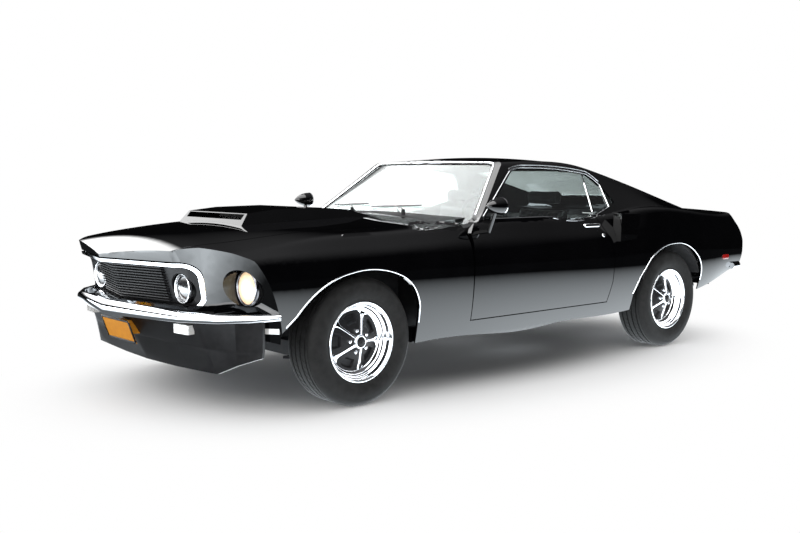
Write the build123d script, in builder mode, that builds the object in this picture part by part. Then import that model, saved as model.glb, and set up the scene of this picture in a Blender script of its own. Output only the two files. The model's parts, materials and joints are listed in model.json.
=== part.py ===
"""Two-door fastback muscle car, built as the real one is: panels, glass, running gear and cabin.

Millimetres. +X runs to the tail, +Y to the car's right, +Z up. The origin is on the ground, at half
the overall length, on the centre line. Section tables give each station as its distance behind the
front axle on the reference car, and x_at, y_at and z_at carry them to the size that is set here.
"""
from build123d import *
import math
import os

os.makedirs("parts", exist_ok=True)

# ---- Overall sizes ---------------------------------------------------------------------------
overall_length = 4760.0
body_width = 1814.0
roof_height = 1290.0
wheelbase = 2743.0
front_overhang = 985.0
rear_overhang = overall_length - wheelbase - front_overhang
front_axle_x = front_overhang - overall_length / 2
rear_axle_x = front_axle_x + wheelbase

# ---- Reference car that the section tables were drawn on ---------------------------------------
table_wheelbase = 2743.0
table_front_overhang = 985.0
table_rear_overhang = 1032.0
table_width = 1814.0
table_height = 1290.0

# ---- Wheels and steering -----------------------------------------------------------------------
tyre_radius = 330.0
tyre_width = 228.0
rim_radius = 206.0
rim_width = 200.0
barrel_radius = 178.0
track = 1510.0
wheel_y = track / 2
axle_height = tyre_radius
kingpin_y = 690.0
kingpin_radius = 14.0
spindle_radius = 18.0
running_gap = 0.3
spoke_count = 5
spoke_phase = 68.0
lug_circle = 114.3
lug_radius = 10.0

# ---- Panels ------------------------------------------------------------------------------------
skin = 20.0
door_thickness = 78.0
seam = 6.0
seat_gap = 0.3
roof_skin = 26.0
glass_thickness = 6.0
glass_inset = 5.0
open_sill = 60.0
far = 3000.0


def x_at(u):
    """x of a station u behind the front axle."""
    if u < 0:
        return front_axle_x + u * front_overhang / table_front_overhang
    if u <= table_wheelbase:
        return front_axle_x + u * wheelbase / table_wheelbase
    return rear_axle_x + (u - table_wheelbase) * rear_overhang / table_rear_overhang


def y_at(half_width):
    return half_width * body_width / table_width


def z_at(height):
    return height * roof_height / table_height


def station_plane(x):
    """Cross-section plane: its local x is the car's Y, its local y is Z."""
    return Plane(origin=(x, 0, 0), x_dir=(0, 1, 0), z_dir=(1, 0, 0))


def side_points(table):
    """Side-view points (x, z) from rows of (station, height)."""
    return [(x_at(u), z_at(z)) for u, z in table]


def plan_points(table):
    """Plan-view points (x, y) from rows of (station, half width), mirrored to a closed outline."""
    right = [(x_at(u), y_at(y)) for u, y in table]
    left = [(x, -y) for x, y in reversed(right) if y > 0]
    return right + left


def prism(plane, points, amount, both=False):
    """A straight-sided block on a closed outline, used to cut and to select regions."""
    with BuildPart() as block:
        with BuildSketch(plane):
            with BuildLine():
                Polyline(*points, close=True)
            make_face()
        extrude(amount=amount, both=both)
    return block.part


# ---- Lower body: one loft from nose to tail ------------------------------------------------------
# station, centre height, crest y, crest z, crease y, crease z, waist y, waist z, sill y, sill z
body_rows = [
    (-1010, 764, 660, 742, 790, 706, 822, 620, 790, 484),
    (-850, 846, 740, 790, 836, 752, 862, 632, 815, 470),
    (-650, 892, 780, 808, 868, 776, 888, 648, 842, 420),
    (-300, 920, 792, 852, 882, 785, 904, 662, 858, 320),
    (250, 940, 797, 874, 885, 790, 907, 668, 864, 284),
    (850, 948, 802, 909, 873, 808, 907, 662, 864, 282),
    (1500, 938, 808, 922, 876, 802, 908, 652, 864, 283),
    (2050, 938, 816, 924, 882, 800, 908, 642, 864, 286),
    (2450, 985, 838, 962, 890, 808, 907, 645, 864, 310),
    (2900, 975, 834, 948, 888, 800, 902, 640, 862, 350),
    (3300, 938, 814, 910, 872, 786, 888, 630, 850, 410),
    (3560, 932, 792, 900, 852, 768, 868, 622, 836, 480),
    (3790, 950, 768, 922, 836, 764, 850, 618, 822, 490),
]


def body_section(row, inset):
    """Closed profile of the lower body at one station, moved in by inset."""
    u, top, crest_y, crest_z, crease_y, crease_z, waist_y, waist_z, sill_y, sill_z = row
    crest = (y_at(crest_y) - 0.7 * inset, z_at(crest_z) - inset)
    crease = (y_at(crease_y) - inset, z_at(crease_z) - 0.3 * inset)
    waist = (y_at(waist_y) - inset, z_at(waist_z))
    drop = open_sill if inset > 0 else 0
    sill = (y_at(sill_y) - inset, z_at(sill_z) - drop)
    above = (waist[0] - (waist[0] - crease[0]) / 4, (waist[1] + crease[1]) / 2)
    below = (waist[0] - (waist[0] - sill[0]) / 4, (waist[1] + sill[1]) / 2)
    left = [(-y, z) for y, z in (crest, crease, above, waist, below, sill)]
    with BuildLine() as outline:
        ThreePointArc(left[0], (0, z_at(top) - inset), crest)
        Line(crest, crease)
        ThreePointArc(crease, above, waist)
        ThreePointArc(waist, below, sill)
        Line(sill, left[5])
        ThreePointArc(left[5], left[4], left[3])
        ThreePointArc(left[3], left[2], left[1])
        Line(left[1], left[0])
    return outline.line


# Front face of the nose in plan, at two heights: station, half width
nose_top_z = 800.0
nose_low_z = 500.0
nose_top = [(-1004, 0), (-874, 552), (-772, 716), (-700, 840), (-650, 900), (-560, 1000), (4200, 1000)]
nose_low = [(-907, 0), (-790, 506), (-725, 600), (-610, 760), (-520, 880), (-440, 1000), (4200, 1000)]

# Tail face in side view: station, height
tail_face = [(-1200, 1500), (3612, 1500), (3612, 960), (3650, 880), (3698, 800), (3728, 700),
             (3720, 610), (3690, 470), (3690, 100), (-1200, 100)]


def nose_outline(z, inset):
    """Plan outline of the nose at height z, run out beyond the two given heights."""
    reach = (z - nose_low_z) / (nose_top_z - nose_low_z)
    rows = [(a[0] + (b[0] - a[0]) * reach, a[1]) for a, b in zip(nose_low, nose_top)]
    return [(x + inset, y) for x, y in plan_points(rows)]


def body_envelope(inset):
    """The volume between the nose face and the tail face, moved in by inset."""
    with BuildPart() as envelope:
        for z in (150.0, 1400.0):
            with BuildSketch(Plane.XY.offset(z_at(z))):
                with BuildLine():
                    Polyline(*nose_outline(z, inset), close=True)
                make_face()
        loft(ruled=True)
        add(prism(Plane.XZ, [(x - inset, z) for x, z in side_points(tail_face)], far, both=True),
            mode=Mode.INTERSECT)
    return envelope.part


def lower_body(inset):
    """Solid lower body whose surface lies inset within the outside."""
    with BuildPart() as body:
        for row in body_rows:
            with BuildSketch(station_plane(x_at(row[0]))):
                add(body_section(row, inset))
                make_face()
        loft()
        add(body_envelope(inset), mode=Mode.INTERSECT)
    return body.part


# ---- Greenhouse: roof, pillars and fastback as one loft, cut by the windscreen ---------------------
# station, foot y, shoulder y, shoulder z, roof centre z
roof_rows = [
    (600, 818, 588, 1212, 1250),
    (1240, 820, 598, 1224, 1266),
    (1620, 826, 606, 1236, 1290),
    (2000, 830, 612, 1218, 1266),
    (2240, 832, 616, 1172, 1220),
    (2700, 828, 614, 1066, 1110),
    (3150, 814, 606, 956, 1004),
    (3400, 800, 600, 896, 940),
]
roof_base_z = 860.0
corner_radius = 55.0

# Windscreen face in plan: height, centre station, bow over the half width
screen_half_width = 750.0
screen_rows = [(860, 730, 105), (1300, 1290, 150)]


def roof_section(row, inset):
    """Closed profile of the greenhouse at one station: leaning sides, turned shoulders, crown."""
    u, foot_y, shoulder_y, shoulder_z, top = row
    foot = (y_at(foot_y) - inset, z_at(roof_base_z))
    edge = (y_at(shoulder_y) - inset, z_at(shoulder_z) - 0.4 * inset)
    brow = (edge[0] - corner_radius, edge[1] + 0.45 * corner_radius)
    turn = (edge[0] - 0.2 * corner_radius, edge[1] + 0.32 * corner_radius)
    crown = z_at(top) - inset
    with BuildLine() as outline:
        Line((-foot[0], foot[1]), (-edge[0], edge[1]))
        ThreePointArc((-edge[0], edge[1]), (-turn[0], turn[1]), (-brow[0], brow[1]))
        ThreePointArc((-brow[0], brow[1]), (0, crown), brow)
        ThreePointArc(brow, turn, edge)
        Line(edge, foot)
        Line(foot, (-foot[0], foot[1]))
    return outline.line


def screen_envelope(inset):
    """Everything behind the bowed windscreen face, moved back by inset."""
    with BuildPart() as envelope:
        for z, u, bow in screen_rows:
            half = y_at(screen_half_width)
            with BuildSketch(Plane.XY.offset(z_at(z))):
                with BuildLine():
                    front = x_at(u) + inset
                    side = x_at(u + bow) + inset
                    ThreePointArc((side, -half), (front, 0), (side, half))
                    Polyline((side, half), (side, far), (far, far), (far, -far), (side, -far),
                             (side, -half))
                make_face()
        loft(ruled=True)
    return envelope.part


def greenhouse(inset, screen_inset):
    """Solid greenhouse whose surface lies inset within the outside."""
    with BuildPart() as house:
        for row in roof_rows:
            with BuildSketch(station_plane(x_at(row[0]))):
                add(roof_section(row, inset))
                make_face()
        loft()
        add(screen_envelope(screen_inset), mode=Mode.INTERSECT)
    return house.part


lower_outer = lower_body(0.0)
lower_inner = lower_body(skin)
lower_lining = lower_body(skin + seat_gap)
door_inner = lower_body(door_thickness)
house_outer = greenhouse(0.0, 0.0)
house_inner = greenhouse(roof_skin, 1.6 * roof_skin)
glass_outer = greenhouse(glass_inset, 1.6 * glass_inset)
glass_inner = greenhouse(glass_inset + glass_thickness, 1.6 * (glass_inset + glass_thickness))


# ---- Lines where the panels meet -----------------------------------------------------------------
# Side view rows: station, height
arc = "middle of an arc"
door_line = [(750, 372), (757, 740), (786, 852), (868, 926), (1937, 926), (1998, 800), (2038, 660),
             (2030, 500), (1992, 372)]
front_arch = [(-460, 100), (-500, 424), (-424, 500), (-278, 628, arc), (-105, 686), (60, 694, arc),
              (215, 655), (310, 582, arc), (350, 490), (350, 400), (348, 100)]
rear_arch = [(2250, 100), (2276, 400), (2340, 510), (2440, 618), (2582, 690, arc), (2740, 712),
             (2900, 690, arc), (3020, 622), (3090, 530, arc), (3098, 430), (3075, 100)]
side_window = [(965, 926), (1362, 1198), (1425, 1212, arc), (1500, 1215), (1800, 1208, arc), (2080, 1180),
               (2186, 1106, arc), (2252, 1000), (1985, 926)]
# Plan view rows: station, half width
hood_lip_z = 758
hood_rear = 640
hood_line = [(-1100, 516), (-866, 516), (-780, 554), (-642, 590), (-400, 620), (-110, 640),
             (hood_rear, 668), (hood_rear, 0)]
door_front = 750
door_foot = 372
lid_front = 3160
lid_lip_z = 868
lid_half = 606
tail_start = 3560
roof_end = 2190
rear_window_top = 2215
rear_window_foot = 3020
rear_window_half = 530
grille_half = 600
grille_top = 756
grille_foot = 527
side_inner = 560
beyond = 1100
door_rim_relief = 16.0
pillar_clear_y = 800
glass_gap = 6.0
glass_foot = 908
glass_front = 1018
glass_rear = 1941
bar_foot = 1962
bar_top = 2036


def closed_outline(table):
    """Draws a closed side-view line through the rows: straight, or an arc where a row is its middle."""
    points = side_points([row[:2] for row in table])
    count = len(table)
    for index, row in enumerate(table):
        following = (index + 1) % count
        if len(row) == 3:
            ThreePointArc(points[index - 1], points[index], points[following])
        elif len(table[following]) == 2:
            Line(points[index], points[following])


def side_outline(table, grow, y_from, y_to):
    """A mirrored side-view block whose outline stands off the given line by grow."""
    plane = Plane(origin=(0, y_to, 0), x_dir=(1, 0, 0), z_dir=(0, -1, 0))
    with BuildPart() as block:
        with BuildSketch(plane):
            with BuildLine():
                closed_outline(table)
            make_face()
            if grow != 0:
                offset(amount=grow, kind=Kind.INTERSECTION)
        extrude(amount=y_to - y_from)
        mirror(about=Plane.XZ)
    return block.part


def side_band(u_from, u_to, z_from, z_to, y_from, y_to):
    """A pair of mirrored boxes between two stations, two heights and two half widths."""
    corners = [(u_from, z_from), (u_to, z_from), (u_to, z_to), (u_from, z_to)]
    return side_outline(corners, 0, y_from, y_to)


def cross_block(u_from, u_to, z_from, z_to, half):
    """A box across the car between two stations and two heights."""
    points = side_points([(u_from, z_from), (u_to, z_from), (u_to, z_to), (u_from, z_to)])
    return prism(Plane.XZ, points, half, both=True)


def plan_region(table, z_from, z_to, grow=0.0):
    """A plan-view block on a mirrored half outline, between two heights."""
    with BuildPart() as block:
        with BuildSketch(Plane.XY.offset(z_from)):
            with BuildLine():
                Polyline(*plan_points(table), close=True)
            make_face()
            if grow != 0:
                offset(amount=grow, kind=Kind.INTERSECTION)
        extrude(amount=z_to - z_from)
    return block.part


def keep(node, label):
    """Label a finished piece and write it."""
    node.part.label = label
    export_step(node.part, "parts/" + label + ".step")
    print(label, len(node.part.solids()), "solids,", round(node.part.volume / 1e6, 2), "litres")


def across(u, table):
    """Cross-section outline (y, z) mirrored from rows of (half width, height)."""
    right = [(y_at(y), z_at(z)) for y, z in table]
    left = [(-y, z) for y, z in reversed(right) if y > 0]
    return prism(station_plane(x_at(u)), right + left, far)


def table_at(table, value):
    """The first column of a two-column table, read off at a value of its second column."""
    for low, high in zip(table, table[1:]):
        if min(low[1], high[1]) <= value <= max(low[1], high[1]) and low[1] != high[1]:
            share = (value - low[1]) / (high[1] - low[1])
            return low[0] + share * (high[0] - low[0])
    return table[0][0]


pipe_radius = 29.0
muffler_height = 84.0
tail_pipe_y = 430.0
tail_pipe_z = 320.0
tail_pipe_gap = 8.0

# ---- Cutters shared by the panels --------------------------------------------------------------------
door_hole = side_outline(door_line, seam / 2, side_inner, beyond)
door_fill = side_outline(door_line, -seam / 2, 730, beyond)
hood_cut = plan_region(hood_line, z_at(700), z_at(1200), seam / 2)
hood_fill = plan_region(hood_line, z_at(hood_lip_z), z_at(1200), -seam / 2)
lid_table = [(lid_front, 0), (lid_front, lid_half), (3900, lid_half), (3900, 0)]
lid_cut = plan_region(lid_table, z_at(lid_lip_z) - seam, z_at(1200), seam / 2)
lid_fill = plan_region(lid_table, z_at(lid_lip_z), z_at(1200), -seam / 2)
window_cut = side_outline(side_window, 0, 300, beyond)
screen_cut = across(600, [(0, 880), (718, 880), (716, 930), (540, 1232), (500, 1243), (0, 1247)])
screen_zone = cross_block(600, 1335, 800, 1400, far)
rear_window_cut = plan_region([(rear_window_top, 0), (rear_window_top, 505), (rear_window_top + 30, 525),
                               (rear_window_foot, 545), (rear_window_foot, 0)], 700, 1500)
roof_zone = side_outline([(600, 905), (975, 905), (990, 926), (roof_end - 20, 926),
                          (roof_end - 20, 1000), (roof_end, 1000), (roof_end, 1500), (600, 1500)],
                         0, 0, beyond)
deck_zone = cross_block(rear_window_foot, lid_front - seam / 2, 800, 1500, y_at(lid_half))
tail_zone = cross_block(tail_start, 3900, 200, lid_lip_z - seam, y_at(lid_half))
nose_zone = cross_block(-1100, -640, 200, 524, 620)

opening_radius = 70.0
with BuildPart() as grille_opening:
    with BuildSketch(station_plane(x_at(-1100))):
        with Locations((0, z_at((grille_top + grille_foot) / 2))):
            RectangleRounded(2 * y_at(grille_half), z_at(grille_top - grille_foot), opening_radius)
    extrude(amount=x_at(-700) - x_at(-1100))

lamp_y = 770.0
lamp_z = 641.0
lamp_radius = 73.0
lamp_well_radius = 88.0
lamp_face = -622
lamp_tube_end = -552
with BuildPart() as lamp_wells:
    with Locations((x_at(lamp_face) - 250, lamp_y, z_at(lamp_z))):
        Cylinder(lamp_well_radius, 700, rotation=(0, 90, 0))
    mirror(about=Plane.XZ)

lamp_tube_gauge = 5.0
with BuildPart() as lamp_tubes:
    with Locations(((x_at(lamp_face - 200) + x_at(lamp_tube_end)) / 2, lamp_y, z_at(lamp_z))):
        Cylinder(lamp_well_radius + lamp_tube_gauge, x_at(lamp_tube_end) - x_at(lamp_face - 200),
                 rotation=(0, 90, 0))
    mirror(about=Plane.XZ)
    add(lower_outer, mode=Mode.INTERSECT)

# ---- Outer panels ----------------------------------------------------------------------------------
with BuildPart() as fender_zone:
    add(side_outline([(-1100, 1100), (-1100, 300), (-500, 200), (748, 200), (748, door_foot),
                      (door_front, 900), (900, 935), (900, 1100)], 0, 300, beyond))
    add(hood_cut, mode=Mode.SUBTRACT)
    add(cross_block(hood_rear, 1000, 800, 1200, y_at(668)), mode=Mode.SUBTRACT)
    add(door_hole, mode=Mode.SUBTRACT)
    add(side_outline(front_arch, 0, 300, beyond), mode=Mode.SUBTRACT)
    add(grille_opening.part, mode=Mode.SUBTRACT)
    add(nose_zone, mode=Mode.SUBTRACT)

with BuildPart() as front_fenders:
    add(lower_outer)
    add(fender_zone.part, mode=Mode.INTERSECT)
    add(lower_inner, mode=Mode.SUBTRACT)
    add(lamp_tubes.part)
    add(lamp_wells.part, mode=Mode.SUBTRACT)
keep(front_fenders, "front_fenders")

with BuildPart() as hood:
    add(lower_outer)
    add(hood_fill, mode=Mode.INTERSECT)
    add(lower_inner, mode=Mode.SUBTRACT)
keep(hood, "hood")

with BuildPart() as hood_scoop:
    add(prism(Plane.XZ, side_points([(-385, 850), (-385, 885), (-318, 966), (-150, 984), (150, 990),
                                     (360, 976), (540, 925), (540, 850)]), y_at(330), both=True))
    add(across(-600, [(0, 840), (345, 840), (290, 992), (0, 1000)]), mode=Mode.INTERSECT)
    add(lower_outer, mode=Mode.SUBTRACT)
    add(cross_block(-600, -60, 934, 962, y_at(280)), mode=Mode.SUBTRACT)
keep(hood_scoop, "hood_scoop")

with BuildPart() as door_pair:
    add(lower_outer)
    add(door_fill, mode=Mode.INTERSECT)
    add(door_inner, mode=Mode.SUBTRACT)
    with BuildPart(mode=Mode.PRIVATE) as rim_relief:
        add(side_outline(door_line, 0, 700, beyond))
        add(side_outline(door_line, -door_rim_relief, 600, beyond), mode=Mode.SUBTRACT)
        add(lower_inner, mode=Mode.INTERSECT)
    add(rim_relief.part, mode=Mode.SUBTRACT)
    add(side_band(700, glass_front, 830, 960, 700, pillar_clear_y), mode=Mode.SUBTRACT)
    add(side_band(glass_front - 6, glass_rear, glass_foot, 960, 720, 799), mode=Mode.SUBTRACT)

rocker_lap_y = 842
with BuildPart() as rocker_zone:
    add(side_band(348, 2270, 100, door_foot - 3, 800, rocker_lap_y))
    add(side_band(748, 1994, 100, door_foot - 3, rocker_lap_y, beyond))

with BuildPart() as rocker_panels:
    add(lower_outer)
    add(rocker_zone.part, mode=Mode.INTERSECT)
keep(rocker_panels, "rocker_panels")

with BuildPart() as quarter_zone:
    add(side_outline([(1935, 900), (1935, 926), (roof_end - 20, 926), (roof_end - 20, 1000),
                      (roof_end, 1000), (roof_end, 1500), (3900, 1500),
                      (3900, 100), (1994, 100), (1994, 600)], 0, 300, beyond))
    add(door_hole, mode=Mode.SUBTRACT)
    add(window_cut, mode=Mode.SUBTRACT)
    add(side_outline(rear_arch, 0, 300, beyond), mode=Mode.SUBTRACT)
    add(rear_window_cut, mode=Mode.SUBTRACT)
    add(deck_zone, mode=Mode.SUBTRACT)
    add(lid_cut, mode=Mode.SUBTRACT)
    add(tail_zone, mode=Mode.SUBTRACT)

with BuildPart() as quarter_panels:
    add(lower_outer)
    add(house_outer)
    add(quarter_zone.part, mode=Mode.INTERSECT)
    add(lower_inner, mode=Mode.SUBTRACT)
    add(house_inner, mode=Mode.SUBTRACT)
keep(quarter_panels, "quarter_panels")

scoop_mouth_u = 2078
scoop_end_u = 2330
scoop_proud = 20.0
with BuildPart() as side_scoops:
    add(side_outline([(scoop_mouth_u, 932), (scoop_end_u, 926), (scoop_end_u - 28, 764),
                      (scoop_mouth_u - 6, 757)], 0, 860, 940))
    with BuildPart(mode=Mode.PRIVATE) as scoop_wedge:
        with BuildSketch(Plane.XY.offset(z_at(700))):
            with BuildLine():
                Polyline((x_at(scoop_mouth_u) - 40, y_at(850)),
                         (x_at(scoop_mouth_u) - 40, y_at(907) + scoop_proud),
                         (x_at(scoop_end_u) + 40, y_at(884)),
                         (x_at(scoop_end_u) + 40, y_at(850)), close=True)
            make_face()
        extrude(amount=z_at(300))
        mirror(about=Plane.XZ)
    add(scoop_wedge.part, mode=Mode.INTERSECT)
    add(lower_outer, mode=Mode.SUBTRACT)
    add(house_outer, mode=Mode.SUBTRACT)
keep(side_scoops, "side_scoops")

with BuildPart() as roof:
    add(house_outer)
    add(roof_zone, mode=Mode.INTERSECT)
    add(house_inner, mode=Mode.SUBTRACT)
    add(window_cut, mode=Mode.SUBTRACT)
    with BuildPart(mode=Mode.PRIVATE) as screen_hole:
        add(screen_cut)
        add(screen_zone, mode=Mode.INTERSECT)
    add(screen_hole.part, mode=Mode.SUBTRACT)
keep(roof, "roof")

with BuildPart() as rear_deck:
    add(lower_outer)
    add(house_outer)
    add(deck_zone, mode=Mode.INTERSECT)
    add(lower_inner, mode=Mode.SUBTRACT)
    add(house_inner, mode=Mode.SUBTRACT)
    with BuildPart(mode=Mode.PRIVATE) as lid_hinges:
        add(house_inner.moved(Location((0, 0, -seat_gap))))
        add(side_band(3080, lid_front + 40, 860, 1000, 430, 470), mode=Mode.INTERSECT)
    add(lid_hinges.part)
    with BuildPart(mode=Mode.PRIVATE) as hinge_feet:
        add(house_outer)
        add(side_band(3080, lid_front - seam / 2, 860, 1100, 430, 470), mode=Mode.INTERSECT)
    add(hinge_feet.part)
keep(rear_deck, "rear_deck")

with BuildPart() as trunk_lid:
    add(lower_outer)
    add(house_outer)
    add(lid_fill, mode=Mode.INTERSECT)
    add(lower_inner, mode=Mode.SUBTRACT)
    add(house_inner, mode=Mode.SUBTRACT)
keep(trunk_lid, "trunk_lid")

with BuildPart() as tail_panel:
    add(lower_outer)
    add(tail_zone, mode=Mode.INTERSECT)
    add(lower_inner, mode=Mode.SUBTRACT)
    with BuildPart(mode=Mode.PRIVATE) as rear_valance:
        add(side_outline([(3668, 345), (3686, 345), (3710, 530), (3664, 530)], 0, 0, y_at(lid_half)))
        for pipe_y in (-tail_pipe_y, tail_pipe_y):
            with Locations((x_at(3700), pipe_y, tail_pipe_z)):
                Cylinder(pipe_radius + tail_pipe_gap, 200, rotation=(0, 90, 0), mode=Mode.SUBTRACT)
    add(rear_valance.part)
keep(tail_panel, "tail_panel")

# ---- Glass -------------------------------------------------------------------------------------------
with BuildPart() as windshield:
    add(glass_outer)
    add(screen_cut, mode=Mode.INTERSECT)
    add(screen_zone, mode=Mode.INTERSECT)
    add(glass_inner, mode=Mode.SUBTRACT)
keep(windshield, "windshield")

with BuildPart() as rear_window:
    add(glass_outer)
    add(rear_window_cut, mode=Mode.INTERSECT)
    add(glass_inner, mode=Mode.SUBTRACT)
keep(rear_window, "rear_window")

with BuildPart() as quarter_windows:
    add(glass_outer)
    add(window_cut, mode=Mode.INTERSECT)
    add(side_outline([(bar_foot + 12, 900), (bar_top + 12, 1180), (bar_top + 16, 1300), (2400, 1300),
                      (2400, 900)], 0, 300, beyond), mode=Mode.INTERSECT)
    add(glass_inner, mode=Mode.SUBTRACT)
keep(quarter_windows, "quarter_windows")

with BuildPart() as door_glass:
    add(glass_outer)
    with BuildPart(mode=Mode.PRIVATE) as pane:
        add(side_outline(side_window, -glass_gap, 300, beyond))
        add(side_band(glass_front, glass_rear - 6, glass_foot + seat_gap, 960, 300, beyond))
    add(pane.part, mode=Mode.INTERSECT)
    add(side_outline([(800, 890), (bar_foot, 890), (bar_top, 1180), (bar_top + 4, 1300), (800, 1300)],
                     0, 300, beyond), mode=Mode.INTERSECT)
    add(glass_inner, mode=Mode.SUBTRACT)
    add(across(600, [(0, 860), (730, 860), (728, 930), (556, 1232), (556, 1300), (0, 1300)]),
        mode=Mode.SUBTRACT)

# ---- Doors: shell, trim panel, glass and mirror on each side -------------------------------------------
mirror_u = 965
mirror_y = 905.0
mirror_z = 1000
mirror_radius = 48.0
mirror_length = 125.0
mirror_stem_radius = 11.0
# share of the length, share of the radius, from the glass to the nose
mirror_shape = [(0, 1), (0.2, 0.97), (0.42, 0.86), (0.62, 0.68), (0.8, 0.44), (0.93, 0.2), (1, 0)]
for side, hand in ((-1, "left"), (1, "right")):
    with BuildPart() as door:
        add([s for s in door_pair.part.solids() if s.center().Y * side > 0])
    keep(door, hand + "_door")

    with BuildPart() as side_half:
        with Locations((0, side * far / 2, 0)):
            Box(2 * far, far, 2 * far)

    with BuildPart() as glass:
        add([s for s in door_glass.part.solids() if s.center().Y * side > 0])
    keep(glass, hand + "_door_glass")

    with BuildPart() as trim:
        add(side_outline(door_line, -46, 774, 860))
        add(door_inner, mode=Mode.INTERSECT)
        add(side_band(600, glass_front, 800, 960, 700, 860), mode=Mode.SUBTRACT)
        add(side_band(1250, 1680, 650, 700, 715, 775))
        add(side_half.part, mode=Mode.INTERSECT)
    keep(trim, hand + "_door_trim")

    with BuildPart() as door_mirror:
        with BuildSketch(Plane(origin=(x_at(mirror_u), side * mirror_y, z_at(mirror_z)),
                               x_dir=(1, 0, 0), z_dir=(0, -1, 0))):
            with BuildLine():
                Line((-mirror_length, 0), (0, 0))
                Line((0, 0), (0, mirror_radius))
                Polyline(*[(-a * mirror_length, r * mirror_radius) for a, r in mirror_shape])
            make_face()
        revolve(axis=Axis((x_at(mirror_u), side * mirror_y, z_at(mirror_z)), (1, 0, 0)))
        stem_top = (x_at(mirror_u) - 45, side * mirror_y, z_at(mirror_z) - 20)
        stem_foot = (x_at(mirror_u) - 30, side * (mirror_y - 68), z_at(850))
        with BuildLine():
            stem_line = Line(stem_top, stem_foot)
        with BuildSketch(Plane(origin=stem_top, z_dir=stem_line % 0)):
            Circle(mirror_stem_radius)
        sweep(path=stem_line)
        add(door.part, mode=Mode.SUBTRACT)
    with BuildPart() as mirror_piece:
        add(door_mirror.part.solids().sort_by(SortBy.VOLUME)[-1])
    keep(mirror_piece, hand + "_mirror")

# ---- Nose: grille, moulding, lamps, valance, spoiler, bumper ---------------------------------------------
moulding_width = 16.0
moulding_proud = 4.0
grille_depth = 62.0
slat_count = 13
slat_height = 5.0


def rounded_band(half, z_low, z_high, radius):
    """A bar along X with a rounded rectangular cross-section."""
    with BuildPart() as band:
        with BuildSketch(station_plane(x_at(-1100))):
            with Locations((0, (z_low + z_high) / 2)):
                RectangleRounded(2 * half, z_high - z_low, radius)
        extrude(amount=x_at(-560) - x_at(-1100))
    return band.part


def nose_slice(front, back):
    """The sheet that follows the nose face between two depths behind it."""
    with BuildPart() as sheet:
        add(body_envelope(front))
        add(body_envelope(back), mode=Mode.SUBTRACT)
        add(cross_block(-1200, -500, 300, 1000, 700), mode=Mode.INTERSECT)
    return sheet.part


opening_low = z_at(grille_foot)
opening_high = z_at(grille_top)
opening_half = y_at(grille_half)
with BuildPart() as grille_moulding:
    add(nose_slice(-moulding_proud, 26.0))
    add(rounded_band(opening_half - seat_gap, opening_low + seat_gap, opening_high - seam,
                     opening_radius - seat_gap), mode=Mode.INTERSECT)
    add(rounded_band(opening_half - moulding_width, opening_low + moulding_width,
                     opening_high - seam - moulding_width, 56), mode=Mode.SUBTRACT)
keep(grille_moulding, "grille_moulding")

inner_lamp_y = 448.0
inner_lamp_z = 623.0
inner_lamp_radius = 73.0
inner_lamp_u = -764
with BuildPart() as inner_lamp_holes:
    with Locations((x_at(inner_lamp_u), inner_lamp_y, z_at(inner_lamp_z))):
        Cylinder(inner_lamp_radius + seat_gap, 400, rotation=(0, 90, 0))
    mirror(about=Plane.XZ)

slat_pitch = (opening_high - opening_low - seam - 2 * moulding_width) / (slat_count + 1)
with BuildPart() as grille:
    add(nose_slice(grille_depth, grille_depth + 10))
    add(rounded_band(opening_half - 2, opening_low + 2, opening_high - seam - 2, 68), mode=Mode.INTERSECT)
    with BuildPart(mode=Mode.PRIVATE) as slats:
        add(nose_slice(grille_depth - 18, grille_depth + 2))
        with BuildPart(mode=Mode.PRIVATE) as levels:
            for index in range(slat_count):
                level = opening_low + moulding_width + (index + 1) * slat_pitch
                with Locations((x_at(-850), 0, level)):
                    Box(500, 2 * (inner_lamp_y - inner_lamp_radius - 24), slat_height)
        add(levels.part, mode=Mode.INTERSECT)
    add(slats.part)
    with BuildPart(mode=Mode.PRIVATE) as shroud:
        add(nose_slice(26.0 + seat_gap, grille_depth + 10))
        add(rounded_band(opening_half - 2, opening_low + 2, opening_high - seam - 2, 68),
            mode=Mode.INTERSECT)
        add(rounded_band(opening_half - 14, opening_low + 14, opening_high - seam - 14, 56),
            mode=Mode.SUBTRACT)
    add(shroud.part)
    add(inner_lamp_holes.part, mode=Mode.SUBTRACT)
keep(grille, "grille")

lens_bulge = 16.0
can_depth = 56.0
with BuildPart() as headlamps:
    for face_u, centre_y, centre_z, radius in (
            (lamp_face, lamp_y, lamp_z, lamp_well_radius - seat_gap),
            (inner_lamp_u - 12, inner_lamp_y, inner_lamp_z, inner_lamp_radius)):
        with BuildSketch(Plane(origin=(x_at(face_u), centre_y, z_at(centre_z)), x_dir=(1, 0, 0),
                               z_dir=(0, -1, 0))):
            with BuildLine():
                Line((-lens_bulge, 0), (can_depth, 0))
                Line((can_depth, 0), (can_depth, 0.5 * radius))
                Line((can_depth, 0.5 * radius), (12, radius))
                Line((12, radius), (0, radius))
                lens_round = (radius ** 2 + lens_bulge ** 2) / (2 * lens_bulge)
                half_way = lens_round - lens_bulge - math.sqrt(lens_round ** 2 - radius ** 2 / 4)
                ThreePointArc((0, radius), (half_way, radius / 2), (-lens_bulge, 0))
            make_face()
        revolve(axis=Axis((x_at(face_u), centre_y, z_at(centre_z)), (1, 0, 0)))
    mirror(about=Plane.XZ)
keep(headlamps, "headlamps")

# Valance and spoiler outlines in plan: station, half width
valance_top = [(-895, 0), (-795, 590), (-700, 780), (-590, 846)]
valance_foot = [(-800, 0), (-742, 600), (-680, 760), (-585, 836)]
spoiler_foot = [(-742, 0), (-706, 634), (-660, 740), (-592, 820)]
valance_top_z = 484
valance_foot_z = 345
spoiler_foot_z = 214
valance_skin = 16.0


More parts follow.
